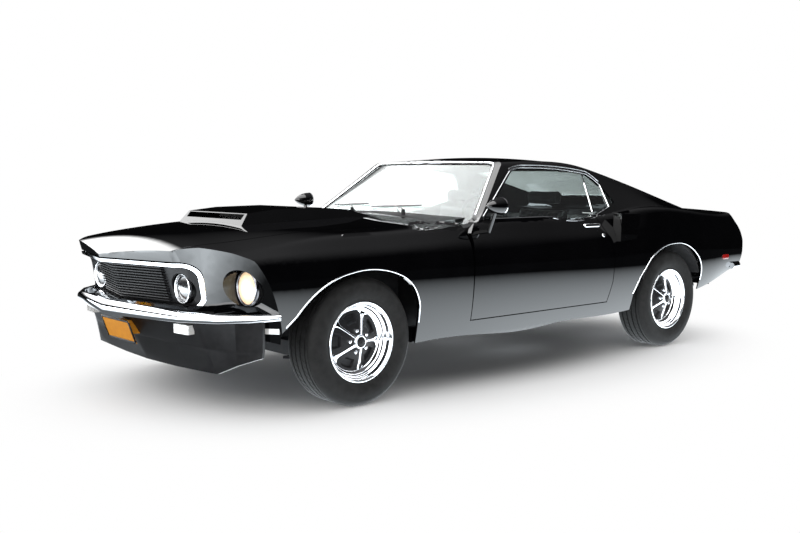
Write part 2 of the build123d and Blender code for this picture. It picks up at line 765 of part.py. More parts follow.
def nose_strip(table, z):
    """A closed V-shaped strip in plan at height z, as thick as the valance."""
    front = [(x_at(u), y_at(y)) for u, y in table]
    back = [(x + valance_skin, y if y == 0 else y - 0.35 * valance_skin) for x, y in front]
    right = front + list(reversed(back))
    left = [(x, -y) for x, y in back[1:]] + [(x, -y) for x, y in reversed(front) if y > 0]
    with BuildSketch(Plane.XY.offset(z_at(z))) as strip:
        with BuildLine():
            Polyline(*right, *left, close=True)
        make_face()
    return strip.sketch


with BuildPart() as front_valance:
    add(nose_strip(valance_foot, valance_foot_z))
    add(nose_strip(valance_top, valance_top_z))
    loft(ruled=True)
    with BuildPart(mode=Mode.PRIVATE) as stone_guard:
        add(lower_outer)
        add(nose_zone, mode=Mode.INTERSECT)
        add(lower_inner, mode=Mode.SUBTRACT)
        add(grille_opening.part, mode=Mode.SUBTRACT)
        add(cross_block(-1100, -640, 100, valance_top_z, 700), mode=Mode.SUBTRACT)
    add(stone_guard.part)
    add(front_fenders.part, mode=Mode.SUBTRACT)
keep(front_valance, "front_valance")

with BuildPart() as chin_spoiler:
    add(nose_strip(spoiler_foot, spoiler_foot_z))
    add(nose_strip(valance_foot, valance_foot_z))
    loft(ruled=True)
    add(across(-1000, [(0, 205), (634, 226), (840, 318), (840, 400), (0, 400)]), mode=Mode.INTERSECT)
keep(chin_spoiler, "chin_spoiler")

bumper_depth = 34.0


def blade(origin, inward, height, plump):
    """One cross-section of a bumper blade: a bowed face on a flat back."""
    turn = Plane(origin=origin, x_dir=inward, z_dir=Vector(0, 0, 1).cross(Vector(*inward)))
    with BuildSketch(turn) as section:
        with BuildLine():
            Line((bumper_depth, -height / 2), (bumper_depth, height / 2))
            Line((bumper_depth, height / 2), (plump, height / 2))
            ThreePointArc((plump, height / 2), (0, 0), (plump, -height / 2))
            Line((plump, -height / 2), (bumper_depth, -height / 2))
        make_face()
    return section.sketch


# station, half width, mid height, blade height, inward direction (x, y)
front_blades = [(-985, 0, 506, 74, 1.0, 0.0), (-925, 330, 505, 60, 0.98, -0.18),
                (-870, 560, 502, 48, 0.93, -0.37), (-768, 738, 501, 42, 0.75, -0.66),
                (-660, 840, 503, 38, 0.6, -0.8), (-526, 903, 506, 30, 0.25, -0.97)]
with BuildPart() as front_bumper:
    for u, y, z, height, ix, iy in front_blades:
        add(blade((x_at(u), y_at(y), z_at(z)), (ix, iy, 0), height, 15))
    loft(ruled=True)
    add(lower_outer, mode=Mode.SUBTRACT)
    add(front_valance.part, mode=Mode.SUBTRACT)
    mirror(about=Plane.XZ)
keep(front_bumper, "front_bumper")

with BuildPart() as front_markers:
    with BuildSketch(Plane(origin=(0, 0, z_at(415)), x_dir=(1, 0, 0), z_dir=(0, 0, 1))):
        with BuildLine():
            Polyline((x_at(-832), 450), (x_at(-816), 560), (x_at(-780), 553), (x_at(-796), 443),
                     close=True)
        make_face()
    extrude(amount=44)
    add(front_valance.part, mode=Mode.SUBTRACT)
    add(cross_block(-1000, -806 + 40, 300, 600, 700), mode=Mode.INTERSECT)
    with BuildSketch(Plane(origin=(0, 0, z_at(424)), x_dir=(1, 0, 0), z_dir=(0, 0, 1))):
        with BuildLine():
            Polyline((x_at(-574), 786), (x_at(-512), 866), (x_at(-503), 859), (x_at(-565), 779),
                     close=True)
        make_face()
    extrude(amount=26)
    add(front_fenders.part, mode=Mode.SUBTRACT)
    mirror(about=Plane.XZ)
keep(front_markers, "front_markers")

# The plate hangs under the bumper on a bracket from the valance: station, height in side view
plate_half = 154.0
plate_gauge = 3.0
bracket_half = 50.0
with BuildPart() as front_plate:
    add(prism(Plane.XZ, side_points([(-920, 443), (-920 + plate_gauge, 444), (-877 + plate_gauge, 328),
                                     (-877, 327)]), plate_half, both=True))
    add(prism(Plane.XZ, side_points([(-915, 432), (-846, 432), (-797, 360), (-888, 360)]), bracket_half,
              both=True))
    add(front_valance.part, mode=Mode.SUBTRACT)
keep(front_plate, "front_plate")

# ---- Tail: lamps and bumper ------------------------------------------------------------------------------
lamp_proud = 12.0
rear_lamp_rows = [(310, 84), (420, 84), (530, 84)]
tail_curve = [(u, z) for u, z in tail_face if 470 <= z <= 880]


def tail_band(front, back, z_low, z_high, half):
    """The sheet that follows the tail face between two offsets and two heights."""
    heights = [z_high, 700, 610, z_low]
    outer = [(x_at(table_at(tail_curve, z)) + back, z_at(z)) for z in heights]
    inner = [(x_at(table_at(tail_curve, z)) + front, z_at(z)) for z in heights]
    return prism(Plane.XZ, outer + list(reversed(inner)), half, both=True)


with BuildPart() as rear_lamps:
    add(tail_band(0, lamp_proud, 605 + 0.5, 770, 800))
    with BuildPart(mode=Mode.PRIVATE) as lamp_columns:
        for centre, width in rear_lamp_rows:
            with Locations((x_at(3700), y_at(centre), z_at(690))):
                Box(300, width, z_at(200))
        mirror(about=Plane.XZ)
    add(lamp_columns.part, mode=Mode.INTERSECT)
keep(rear_lamps, "rear_lamps")

rear_blades = [(3775, 0, 512, 74, -1.0, 0.0), (3772, 600, 512, 72, -1.0, -0.05),
               (3745, 780, 512, 64, -0.85, -0.52), (3690, 860, 512, 56, -0.4, -0.92),
               (3560, 884, 512, 44, -0.1, -1.0)]
with BuildPart() as rear_bumper:
    for u, y, z, height, ix, iy in rear_blades:
        add(blade((x_at(u), y_at(y), z_at(z)), (ix, iy, 0), height, 15))
    loft(ruled=True)
    mirror(about=Plane.XZ)
    add(lower_outer, mode=Mode.SUBTRACT)
keep(rear_bumper, "rear_bumper")

# ---- Underbody and engine bay -----------------------------------------------------------------------------
floor_z = 288.0
floor_gauge = 12.0
cabin_front = 600
kick_up_u = 2070
seat_back_u = 2350
tunnel_half = 140.0
tunnel_top = 480.0
boot_floor_z = 520.0
boot_half = 600.0
tub_radius = 392.0
rail_y = 540.0
firewall_gauge = 12.0
apron_y = 462.0
cowl_post_z = 905
cowl_post_y = 722.0
post_rear = 738
hinge_levels = (480, 700)
hinge_height = 40

with BuildPart() as floor_pan:
    with BuildSketch(station_plane(x_at(cabin_front))):
        with BuildLine():
            Polyline((-800, floor_z), (-tunnel_half, floor_z), (-tunnel_half + 40, tunnel_top),
                     (tunnel_half - 40, tunnel_top), (tunnel_half, floor_z), (800, floor_z),
                     (800, floor_z + floor_gauge), (tunnel_half + floor_gauge, floor_z + floor_gauge),
                     (tunnel_half - 32, tunnel_top + floor_gauge),
                     (-tunnel_half + 32, tunnel_top + floor_gauge),
                     (-tunnel_half - floor_gauge, floor_z + floor_gauge), (-800, floor_z + floor_gauge),
                     close=True)
        make_face()
    extrude(amount=x_at(kick_up_u) - x_at(cabin_front))
    add(cross_block(kick_up_u, kick_up_u + 12, floor_z, boot_floor_z + floor_gauge, 800))
    add(cross_block(kick_up_u, 3640, boot_floor_z, boot_floor_z + floor_gauge, boot_half))
    add(cross_block(kick_up_u, kick_up_u + 12, 0, tunnel_top, tunnel_half - 40), mode=Mode.SUBTRACT)
    with Locations((rear_axle_x, boot_half + 140, axle_height)):
        Cylinder(tub_radius, 280, rotation=(90, 0, 0))
    with Locations((rear_axle_x, boot_half + 160, axle_height)):
        Cylinder(tub_radius - floor_gauge, 300, rotation=(90, 0, 0), mode=Mode.SUBTRACT)
    with Locations((rear_axle_x, boot_half + 120, boot_floor_z / 2 - 30)):
        Box(1200, 400, boot_floor_z, mode=Mode.SUBTRACT)
    with Locations((rear_axle_x, boot_half + 6, boot_floor_z)):
        Box(2 * tub_radius - 60, floor_gauge, 80)
    with Locations(((x_at(kick_up_u) + x_at(3560)) / 2, rail_y, boot_floor_z - 30)):
        Box(x_at(3560) - x_at(kick_up_u), 60, 60)
    split(bisect_by=Plane.XZ, keep=Keep.BOTTOM)
    mirror(about=Plane.XZ)
    add(lower_lining, mode=Mode.INTERSECT)
keep(floor_pan, "floor_pan")

with BuildPart() as cowl_top:
    add(lower_outer)
    add(cross_block(hood_rear + seam, 1000, 850, 1200, y_at(668)), mode=Mode.INTERSECT)
    add(lower_inner, mode=Mode.SUBTRACT)
    add(screen_envelope(1.6 * glass_inset), mode=Mode.SUBTRACT)

with BuildPart() as cowl:
    with BuildSketch(station_plane(x_at(cabin_front) - firewall_gauge)):
        with Locations((0, (floor_z + 980) / 2)):
            Rectangle(2 * 860, 980 - floor_z)
    extrude(amount=firewall_gauge)
    add(side_band(cabin_front, post_rear, floor_z + floor_gauge, 860, cowl_post_y, 798))
    add(side_band(cabin_front, 1000, 852, cowl_post_z, cowl_post_y, 792))
    for level in hinge_levels:
        reach = table_at(door_line, level - hinge_height / 2) + door_rim_relief - seat_gap
        add(side_band(post_rear - 20, reach, level - hinge_height / 2, level + hinge_height / 2, 780, 860))
    add(lower_lining, mode=Mode.INTERSECT)
    add(cross_block(500, 640, 0, 482, tunnel_half - 40), mode=Mode.SUBTRACT)
    add(rocker_panels.part, mode=Mode.SUBTRACT)
    add(cross_block(cabin_front, hood_rear + 30, 850, 1000, 660))
    add(lower_lining, mode=Mode.INTERSECT)
    add(cowl_top.part)
keep(cowl, "cowl")

# Radiator support behind the inner lamps
support_u = -706.0
support_gauge = 12.0
with BuildPart() as aprons:
    with BuildSketch(station_plane(x_at(support_u))):
        with BuildLine():
            Polyline((apron_y - 70, 330), (apron_y, 330), (apron_y, 792), (900, 792), (900, 802),
                     (apron_y - 10, 802), (apron_y - 10, 410), (apron_y - 70, 410), close=True)
        make_face()
        mirror(about=Plane.YZ)
    extrude(amount=x_at(cabin_front) - firewall_gauge - x_at(support_u))
    add(cross_block(support_u - support_gauge, support_u, 330, 802, apron_y))
    add(cross_block(support_u - 20, support_u + 10, 420, 720, 300), mode=Mode.SUBTRACT)
    add(cross_block(support_u - support_gauge, support_u + 28, 440, 700, 330))
    add(lower_lining, mode=Mode.INTERSECT)
keep(aprons, "aprons")

gearbox_radius = 90.0
with BuildPart() as engine:
    with BuildSketch(station_plane(x_at(-440))):
        with BuildLine():
            Polyline((-130, 275), (130, 275), (175, 420), (345, 560), (300, 740), (130, 760),
                     (-130, 760), (-300, 740), (-345, 560), (-175, 420), close=True)
        make_face()
    extrude(amount=660)
    with BuildSketch(station_plane(x_at(-440) + 660)):
        with Locations((0, 360)):
            Circle(gearbox_radius)
    extrude(amount=640)
keep(engine, "engine")

shaft_radius = 36.0
diff_radius = 120.0
with BuildPart() as driveshaft:
    with Locations(((x_at(-440) + 1300 + rear_axle_x - diff_radius) / 2, 0, 342)):
        Cylinder(shaft_radius, rear_axle_x - diff_radius - x_at(-440) - 1300, rotation=(0, 90, 0))
keep(driveshaft, "driveshaft")

axle_tube_radius = 38.0
hub_gap = 0.3
hub_half = 44.0
spindle_tip = wheel_y + 24.0
with BuildPart() as axle_body:
    with Locations((rear_axle_x, 0, axle_height)):
        Cylinder(axle_tube_radius, 2 * 700, rotation=(90, 0, 0))
        Cylinder(spindle_radius, 2 * spindle_tip, rotation=(90, 0, 0))
        Cylinder(diff_radius, 150, rotation=(0, 90, 0))
        with Locations((75, 0, 0)):
            Cone(0.9 * diff_radius, 0.4 * diff_radius, 60, rotation=(0, 90, 0))

spring_span = 640.0
spring_gauge = 26.0
spring_width = 56.0
spring_seat = 4.0
spring_low = axle_height - axle_tube_radius - spring_gauge + spring_seat
spring_eye = boot_floor_z - 60.0 - 60.0
with BuildPart() as rear_axle:
    with BuildSketch(Plane(origin=(0, rail_y + spring_width / 2, 0), x_dir=(1, 0, 0), z_dir=(0, -1, 0))):
        with BuildLine():
            ThreePointArc((rear_axle_x - spring_span, spring_eye), (rear_axle_x, spring_low),
                          (rear_axle_x + spring_span, spring_eye))
            Line((rear_axle_x + spring_span, spring_eye),
                 (rear_axle_x + spring_span, spring_eye + spring_gauge))
            ThreePointArc((rear_axle_x + spring_span, spring_eye + spring_gauge),
                          (rear_axle_x, spring_low + spring_gauge),
                          (rear_axle_x - spring_span, spring_eye + spring_gauge))
            Line((rear_axle_x - spring_span, spring_eye + spring_gauge),
                 (rear_axle_x - spring_span, spring_eye))
        make_face()
    extrude(amount=spring_width)
    for end in (-1, 1):
        shackle_x = rear_axle_x + end * (spring_span - 22)
        with Locations((shackle_x, rail_y, (spring_eye + boot_floor_z) / 2 - 24)):
            Box(44, spring_width, boot_floor_z - 60 - spring_eye + 12)
    add(floor_pan.part, mode=Mode.SUBTRACT)
    mirror(about=Plane.XZ)
    add(axle_body.part)
keep(rear_axle, "rear_axle")

with BuildPart() as fuel_tank:
    with Locations(((x_at(3150) + x_at(3540)) / 2, 0, boot_floor_z - 95)):
        Box(x_at(3540) - x_at(3150), 640, 190)
    fillet(fuel_tank.edges().filter_by(Axis.Z), 50)
    chamfer(fuel_tank.faces().sort_by(Axis.Z)[0].edges(), 18)
keep(fuel_tank, "fuel_tank")

with BuildPart() as exhaust:
    with BuildLine() as pipe_line:
        FilletPolyline((x_at(200), 240, 232), (x_at(2960), 270, 232), (x_at(3200), 420, 310),
                       (x_at(3715), tail_pipe_y, tail_pipe_z), radius=120)
    with BuildSketch(Plane(origin=pipe_line.line @ 0, z_dir=pipe_line.line % 0)):
        Circle(pipe_radius)
    sweep(path=pipe_line.line)
    with Locations((x_at(1800), 258, floor_z - seat_gap - muffler_height / 2)):
        Box(460, 190, muffler_height)
    fillet(exhaust.edges().filter_by(Axis.X).filter_by(lambda e: e.length > 300), 30)
    mirror(about=Plane.XZ)
keep(exhaust, "exhaust")

arm_gauge = 14.0
lower_arm_z = axle_height - 128.0
upper_arm_z = axle_height + 122.0
arm_tip = kingpin_y + 12.0
with BuildPart() as front_suspension:
    with Locations((front_axle_x, 0, 235)):
        Box(150, 2 * 420, 80)
    for level, inner, width in ((lower_arm_z, 400, 170), (upper_arm_z, apron_y, 130)):
        with BuildSketch(Plane.XY.offset(level)):
            with BuildLine():
                Polyline((front_axle_x - width, inner), (front_axle_x + width, inner),
                         (front_axle_x + 22, 590), (front_axle_x + 16, arm_tip),
                         (front_axle_x - 16, arm_tip), (front_axle_x - 22, 590), close=True)
            make_face()
            mirror(about=Plane.XZ)
        extrude(amount=arm_gauge)
    for side in (-1, 1):
        with Locations((front_axle_x, side * (apron_y - 35), 300)):
            Box(150, 70, 60)
    add(aprons.part, mode=Mode.SUBTRACT)
keep(front_suspension, "front_suspension")

# ---- Knuckles, wheels and tyres ----------------------------------------------------------------
knuckle_low = lower_arm_z + arm_gauge + running_gap
knuckle_high = upper_arm_z - running_gap
hub_radius = 70.0
hub_inner = -44.0
rotor_radius = 138.0
rotor_gauge = 14.0
disc_gauge = 9.0
rim_seat_radius = barrel_radius - 4.0
# distance outwards from the wheel's middle plane, radius: the dished disc's and the spokes' outer faces
disc_dish = [(16, rim_seat_radius), (28, 150), (44, 100), (52, 66)]
disc_back = [(out - disc_gauge, radius) for out, radius in reversed(disc_dish)]
spoke_dish = [(34, rim_seat_radius), (38, 150), (50, 110), (64, 62)]
# distance from the axle, half width of a spoke
spoke_rows = [(60, 10), (112, 8), (138, 12), (158, 26), (rim_seat_radius + 2, 34)]
window_size = (26, 62)
window_radius = 127.0
lug_tip = 66.0


def wheel_side_plane(x, side):
    """Sketch plane through a wheel's axle: local x points out of the car, local y points up."""
    return Plane(origin=(x, side * wheel_y, axle_height), x_dir=(0, side, 0), z_dir=(side, 0, 0))


for side, hand in ((-1, "left"), (1, "right")):
    with BuildPart() as knuckle:
        with Locations((front_axle_x, side * kingpin_y, (knuckle_low + knuckle_high) / 2)):
            Cylinder(kingpin_radius, knuckle_high - knuckle_low)
        with Locations((front_axle_x, side * kingpin_y, axle_height)):
            Box(40, 28, 110)
        with Locations((front_axle_x, side * (kingpin_y + spindle_tip) / 2, axle_height)):
            Cylinder(spindle_radius, spindle_tip - kingpin_y, rotation=(90, 0, 0))
    keep(knuckle, hand + "_knuckle")

half_rim = rim_width / 2
seat_radius = rim_radius - 16
rim_rows = [(-half_rim, rim_radius), (-half_rim + 8, rim_radius), (-half_rim + 10, seat_radius),
            (-56, seat_radius), (-44, barrel_radius), (44, barrel_radius), (56, seat_radius),
            (half_rim - 10, seat_radius), (half_rim - 8, rim_radius), (half_rim, rim_radius),
            (half_rim, rim_radius - 7), (half_rim - 4, rim_radius - 22), (50, seat_radius - 8),
            (40, barrel_radius - 7), (-40, barrel_radius - 7), (-50, seat_radius - 8),
            (-half_rim + 4, rim_radius - 22), (-half_rim, rim_radius - 7)]
bead = half_rim - 10 - seat_gap
foot_radius = seat_radius + seat_gap
half_tyre = tyre_width / 2
wall = tyre_radius - rim_radius
# distance from the tyre's middle plane, radius, from the bead over the wall to the tread's middle
tyre_outside = [(bead, foot_radius), (bead, rim_radius + 3), (0.95 * half_tyre, rim_radius + 0.18 * wall),
                (half_tyre, rim_radius + 0.46 * wall), (0.97 * half_tyre, rim_radius + 0.68 * wall),
                (0.89 * half_tyre, rim_radius + 0.86 * wall), (0.78 * half_tyre, tyre_radius - 8),
                (0.7 * half_tyre, tyre_radius - 3), (0.35 * half_tyre, tyre_radius)]
tyre_inside = [(bead - 20, foot_radius), (bead - 12, rim_radius + 10),
               (half_tyre - 14, rim_radius + 0.46 * wall), (0.78 * half_tyre - 12, tyre_radius - 26)]
for x, side, label in ((front_axle_x, -1, "front_left"), (front_axle_x, 1, "front_right"),
                       (rear_axle_x, -1, "rear_left"), (rear_axle_x, 1, "rear_right")):
    section = wheel_side_plane(x, side)
    spin = Axis((x, 0, axle_height), (0, 1, 0))
    face = Plane(origin=(x, side * wheel_y, axle_height), x_dir=(1, 0, 0), z_dir=(0, side, 0))
    phase = -side * spoke_phase
    between = phase + 180 / spoke_count
    with BuildPart() as wheel:
        with BuildSketch(section):
            with BuildLine():
                Polyline(*rim_rows, close=True)
            make_face()
        revolve(axis=spin)
        with BuildSketch(section):
            with BuildLine():
                Polyline((hub_inner, 0), (hub_inner, rotor_radius), (hub_inner + rotor_gauge, rotor_radius),
                         (hub_inner + rotor_gauge, hub_radius), (40, hub_radius), (62, 44), (66, 0),
                         close=True)
            make_face()
        revolve(axis=spin)
        with BuildPart(mode=Mode.PRIVATE) as disc:
            with BuildSketch(section):
                with BuildLine():
                    Polyline(*disc_dish, *disc_back, close=True)
                make_face()
            revolve(axis=spin)
            with BuildSketch(face):
                with PolarLocations(window_radius, spoke_count, start_angle=between):
                    RectangleRounded(*window_size, 8)
            extrude(amount=half_rim, mode=Mode.SUBTRACT)
        add(disc.part)
        with BuildPart(mode=Mode.PRIVATE) as spokes:
            with BuildSketch(section):
                with BuildLine():
                    Polyline(*spoke_dish, *disc_back, close=True)
                make_face()
            revolve(axis=spin)
            with BuildSketch(face):
                with PolarLocations(0, spoke_count, start_angle=phase):
                    with BuildLine():
                        Polyline(*spoke_rows, *[(r, -w) for r, w in reversed(spoke_rows)], close=True)
                    make_face()
            extrude(amount=half_rim, mode=Mode.INTERSECT)
        add(spokes.part)
        with BuildSketch(face.offset(disc_dish[-1][0] - disc_gauge)):
            with PolarLocations(lug_circle / 2, spoke_count, start_angle=between):
                RegularPolygon(lug_radius, 6)
        extrude(amount=lug_tip - disc_dish[-1][0] + disc_gauge)
        with Locations(face.offset(hub_inner)):
            Cylinder(spindle_radius + running_gap, spindle_tip - wheel_y - hub_inner + running_gap,
                     align=(Align.CENTER, Align.CENTER, Align.MIN), mode=Mode.SUBTRACT)
    keep(wheel, label + "_wheel")
    with BuildPart() as tyre:
        with BuildSketch(section):
            with BuildLine():
                Polyline(*tyre_outside, *[(-out, r) for out, r in reversed(tyre_outside)],
                         *[(-out, r) for out, r in tyre_inside], *reversed(tyre_inside), close=True)
            make_face()
        revolve(axis=spin)
    keep(tyre, label + "_tyre")

# ---- Cabin -------------------------------------------------------------------------------------
driver_y = -385.0
seat_y = 385.0
seat_width = 450.0
with BuildPart() as dashboard:
    with BuildSketch(Plane.XZ):
        with BuildLine():
            Polyline(*side_points([(930, 850), (960, 893), (1090, 884), (1148, 850), (1150, 800),
                                   (1110, 700), (1010, 690), (940, 780)]), close=True)
        make_face()
    extrude(amount=cowl_post_y - seat_gap, both=True)
keep(dashboard, "dashboard")

wheel_tilt = math.radians(22)
tilt_axis = (math.cos(wheel_tilt), 0, math.sin(wheel_tilt))
steering_u = 1392
steering_z = 872.0
steering_radius = 185.0
grip_radius = 13.0
grip_sides = 10
column_radius = 27.0
steering_centre = Vector(x_at(steering_u), driver_y, z_at(steering_z))
steering_plane = Plane(origin=steering_centre, x_dir=(0, 1, 0), z_dir=tilt_axis)
with BuildPart() as steering_wheel:
    with BuildSketch(Plane(origin=steering_centre, x_dir=(0, 1, 0),
                           z_dir=Vector(0, 1, 0).cross(Vector(*tilt_axis)))):
        with Locations((steering_radius, 0)):
            RegularPolygon(grip_radius, grip_sides)
    revolve(axis=Axis(steering_centre, tilt_axis))
    with BuildSketch(steering_plane.offset(-26)):
        Circle(44)
    extrude(amount=30)
    with BuildSketch(steering_plane.offset(-14)):
        for turn in (0, 180, 270):
            with Locations(Location((0, 0, 0), turn)):
                with Locations((steering_radius / 2, 0)):
                    Rectangle(steering_radius - 6, 26)
    extrude(amount=8)
keep(steering_wheel, "steering_wheel")

with BuildPart() as steering_column:
    with BuildSketch(steering_plane.offset(-26 - running_gap - 260)):
        Circle(column_radius)
    extrude(amount=260)
    add(dashboard.part, mode=Mode.SUBTRACT)
with BuildPart() as column:
    add(steering_column.part.solids().sort_by(Axis.X)[-1])
keep(column, "steering_column")

seat_outline = [(1330, 300), (1780, 300), (1840, 420), (1900, 500), (1985, 900), (2000, 1060), (1960, 1090),
                (1910, 1060), (1850, 800), (1790, 600), (1740, 560), (1400, 590), (1330, 560)]
with BuildPart() as front_seats:
    with BuildSketch(Plane(origin=(0, seat_y + seat_width / 2, 0), x_dir=(1, 0, 0), z_dir=(0, -1, 0))):
        with BuildLine():
            Polyline(*side_points(seat_outline), close=True)
        make_face()
    extrude(amount=seat_width)
    fillet(front_seats.edges().filter_by(lambda e: e.length < 120).filter_by(Axis.Y, reverse=True)
           .filter_by(lambda e: e.center().Z > 500), 18)
    mirror(about=Plane.XZ)
keep(front_seats, "front_seats")

rear_seat_outline = [(2082, 533), (2346, 533), (2346, 850), (2290, 862), (2262, 700), (2235, 640),
                     (2082, 655)]
with BuildPart() as rear_seat:
    add(prism(Plane.XZ, side_points(rear_seat_outline), 590, both=True))
keep(rear_seat, "rear_seat")

with BuildPart() as parcel_shelf:
    add(cross_block(seat_back_u - 4, 3060, 862, 872, 900))
    add(cross_block(seat_back_u - 4, seat_back_u + 8, 800, 862, 700))
    add(lower_lining, mode=Mode.INTERSECT)
keep(parcel_shelf, "parcel_shelf")

with BuildPart() as wipers:
    for centre_y in (-330, 150):
        with BuildSketch(Plane(origin=(x_at(742), centre_y, 930), x_dir=(0, 1, 0), z_dir=(0, 0, 1))):
            Circle(12)
        extrude(amount=40)
    add(cowl.part, mode=Mode.SUBTRACT)
keep(wipers, "wipers")
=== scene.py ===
# %% [markdown]
# # A fastback muscle car, one piece at a time
# This lesson dresses a finished CAD model of a late-1960s two-door car. The CAD settles every size,
# place and joint. Blender adds what the eye looks for: lacquer that flows over the panels, chrome,
# glass, padded seats, tyre tread, and the thin bright lines that draw the car's outline.
# Everything is in metres. +X runs to the tail, +Y to the car's right, +Z up.

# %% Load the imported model
import json
import math
import bmesh
import bpy
import numpy as np
from mathutils import Matrix, Vector
from mathutils.bvhtree import BVHTree


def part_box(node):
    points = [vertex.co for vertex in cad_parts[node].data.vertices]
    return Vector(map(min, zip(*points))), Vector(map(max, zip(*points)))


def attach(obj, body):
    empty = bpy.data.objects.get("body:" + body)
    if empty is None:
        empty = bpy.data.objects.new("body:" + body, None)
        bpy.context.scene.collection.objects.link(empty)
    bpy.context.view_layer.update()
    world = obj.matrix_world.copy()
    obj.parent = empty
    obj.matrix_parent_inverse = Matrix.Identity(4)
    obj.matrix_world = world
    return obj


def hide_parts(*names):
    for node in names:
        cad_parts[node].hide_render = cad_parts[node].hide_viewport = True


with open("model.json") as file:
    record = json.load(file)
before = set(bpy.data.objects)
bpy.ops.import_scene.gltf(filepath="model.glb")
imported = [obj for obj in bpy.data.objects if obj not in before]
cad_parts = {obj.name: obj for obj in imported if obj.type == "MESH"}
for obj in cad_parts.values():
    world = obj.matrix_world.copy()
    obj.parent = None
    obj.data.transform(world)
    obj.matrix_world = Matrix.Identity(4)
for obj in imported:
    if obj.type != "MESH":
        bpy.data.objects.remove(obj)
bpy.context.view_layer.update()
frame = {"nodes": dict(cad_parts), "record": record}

# %% [markdown]
# ## Camera
# The camera stands off the car's front left corner, with the lens a little above hood height.
# A camera is three unit vectors (right, up and backwards) and a place, so the script builds its
# matrix from a compass angle, a downward tilt and a very small roll.

# %% Camera
camera_place = Vector((-4.442, -4.553, 1.157))
camera_yaw = math.radians(41.7176)
camera_tilt = math.radians(5.29085)
camera_roll = math.radians(0.25574)
lens_width = 962.01
picture_width = 800
sensor_width = 36.0

sight = Vector((math.sin(camera_yaw) * math.cos(camera_tilt),
                math.cos(camera_yaw) * math.cos(camera_tilt), -math.sin(camera_tilt)))
level_right = Vector((math.cos(camera_yaw), -math.sin(camera_yaw), 0.0))
level_up = level_right.cross(sight)
right = math.cos(camera_roll) * level_right + math.sin(camera_roll) * level_up
up = math.cos(camera_roll) * level_up - math.sin(camera_roll) * level_right

camera_data = bpy.data.cameras.new("camera")
camera_data.sensor_width = sensor_width
camera_data.lens = lens_width / picture_width * sensor_width
camera = bpy.data.objects.new("camera", camera_data)
bpy.context.scene.collection.objects.link(camera)
camera.matrix_world = Matrix((
    (right.x, up.x, -sight.x, camera_place.x),
    (right.y, up.y, -sight.y, camera_place.y),
    (right.z, up.z, -sight.z, camera_place.z),
    (0, 0, 0, 1)))
bpy.context.scene.camera = camera
print("lens", round(camera_data.lens, 2), "mm")

# %% [markdown]
# ## Finishes
# Each finish is a small node tree on a Principled shader. Noise on Object coordinates carries what
# the eye reads as real: one noise texture drifts both the colour and the roughness, and a second one,
# where a finish asks for it, gives a bump for grain. One helper builds the tree, and each finish then has
# its own short recipe.


# %% Helpers that add nodes
def add_node(tree, kind, sockets, **settings):
    """A new shader node. A socket's value is a number, a colour or another node's output."""
    node = tree.nodes.new("ShaderNode" + kind)
    for name, value in settings.items():
        setattr(node, name, value)
    for socket, value in sockets.items():
        if isinstance(value, bpy.types.NodeSocket):
            tree.links.new(value, node.inputs[socket])
        else:
            node.inputs[socket].default_value = value
    return node


def mapped(tree, value, low, high, to_low=0.0, to_high=1.0, interpolation="LINEAR"):
    """A value moved from one range to another, and held at the ends."""
    sockets = {"Value": value, "From Min": low, "From Max": high, "To Min": to_low, "To Max": to_high}
    return add_node(tree, "MapRange", sockets, interpolation_type=interpolation).outputs["Result"]


def ramped(tree, value, *stops):
    """A value turned into a colour; each stop is a position and a colour."""
    ramp = add_node(tree, "ValToRGB", {"Fac": value})
    band = ramp.color_ramp.elements
    for index, (position, colour) in enumerate(stops):
        stop = band[index] if index < 2 else band.new(position)
        stop.position = position
        stop.color = (*colour, 1)
    return ramp.outputs["Color"]


def node_material(name):
    """A new material with its node tree and its Principled shader."""
    material = bpy.data.materials.new(name)
    material.use_nodes = True
    return material, material.node_tree, material.node_tree.nodes["Principled BSDF"]


# %% A helper that builds one finish
def finish(name, dark, light, roughness, grain=60.0, bump=0.0, bump_scale=400.0, metallic=0.0,
           coat=0.0, coat_roughness=0.03, sheen=0.0):
    """A procedural finish: colour drifts from dark to light, roughness wanders between two values."""
    material, tree, shader = node_material(name)
    place = add_node(tree, "TexCoord", {}).outputs["Object"]
    drift = add_node(tree, "TexNoise", {"Vector": place, "Scale": grain, "Detail": 6.0}).outputs["Fac"]
    tree.links.new(ramped(tree, drift, (0.3, dark), (0.7, light)), shader.inputs["Base Color"])
    tree.links.new(mapped(tree, drift, 0.0, 1.0, *roughness), shader.inputs["Roughness"])
    if bump:
        grit = add_node(tree, "TexNoise", {"Vector": place, "Scale": bump_scale, "Detail": 3.0})
        relief = add_node(tree, "Bump", {"Strength": bump, "Distance": 0.001,
                                         "Height": grit.outputs["Fac"]})
        tree.links.new(relief.outputs["Normal"], shader.inputs["Normal"])
    for socket, value in (("Metallic", metallic), ("Coat Weight", coat),
                          ("Coat Roughness", coat_roughness), ("Sheen Weight", sheen)):
        shader.inputs[socket].default_value = value
    return material


def glazing(name, tint, roughness, transmission):
    """Glass or a clear lens, with faint smears in its roughness."""
    material = finish(name, tint, [min(1.0, c * 1.04) for c in tint], roughness, grain=9.0)
    shader = material.node_tree.nodes["Principled BSDF"]
    shader.inputs["Transmission Weight"].default_value = transmission
    shader.inputs["IOR"].default_value = 1.45
    return material


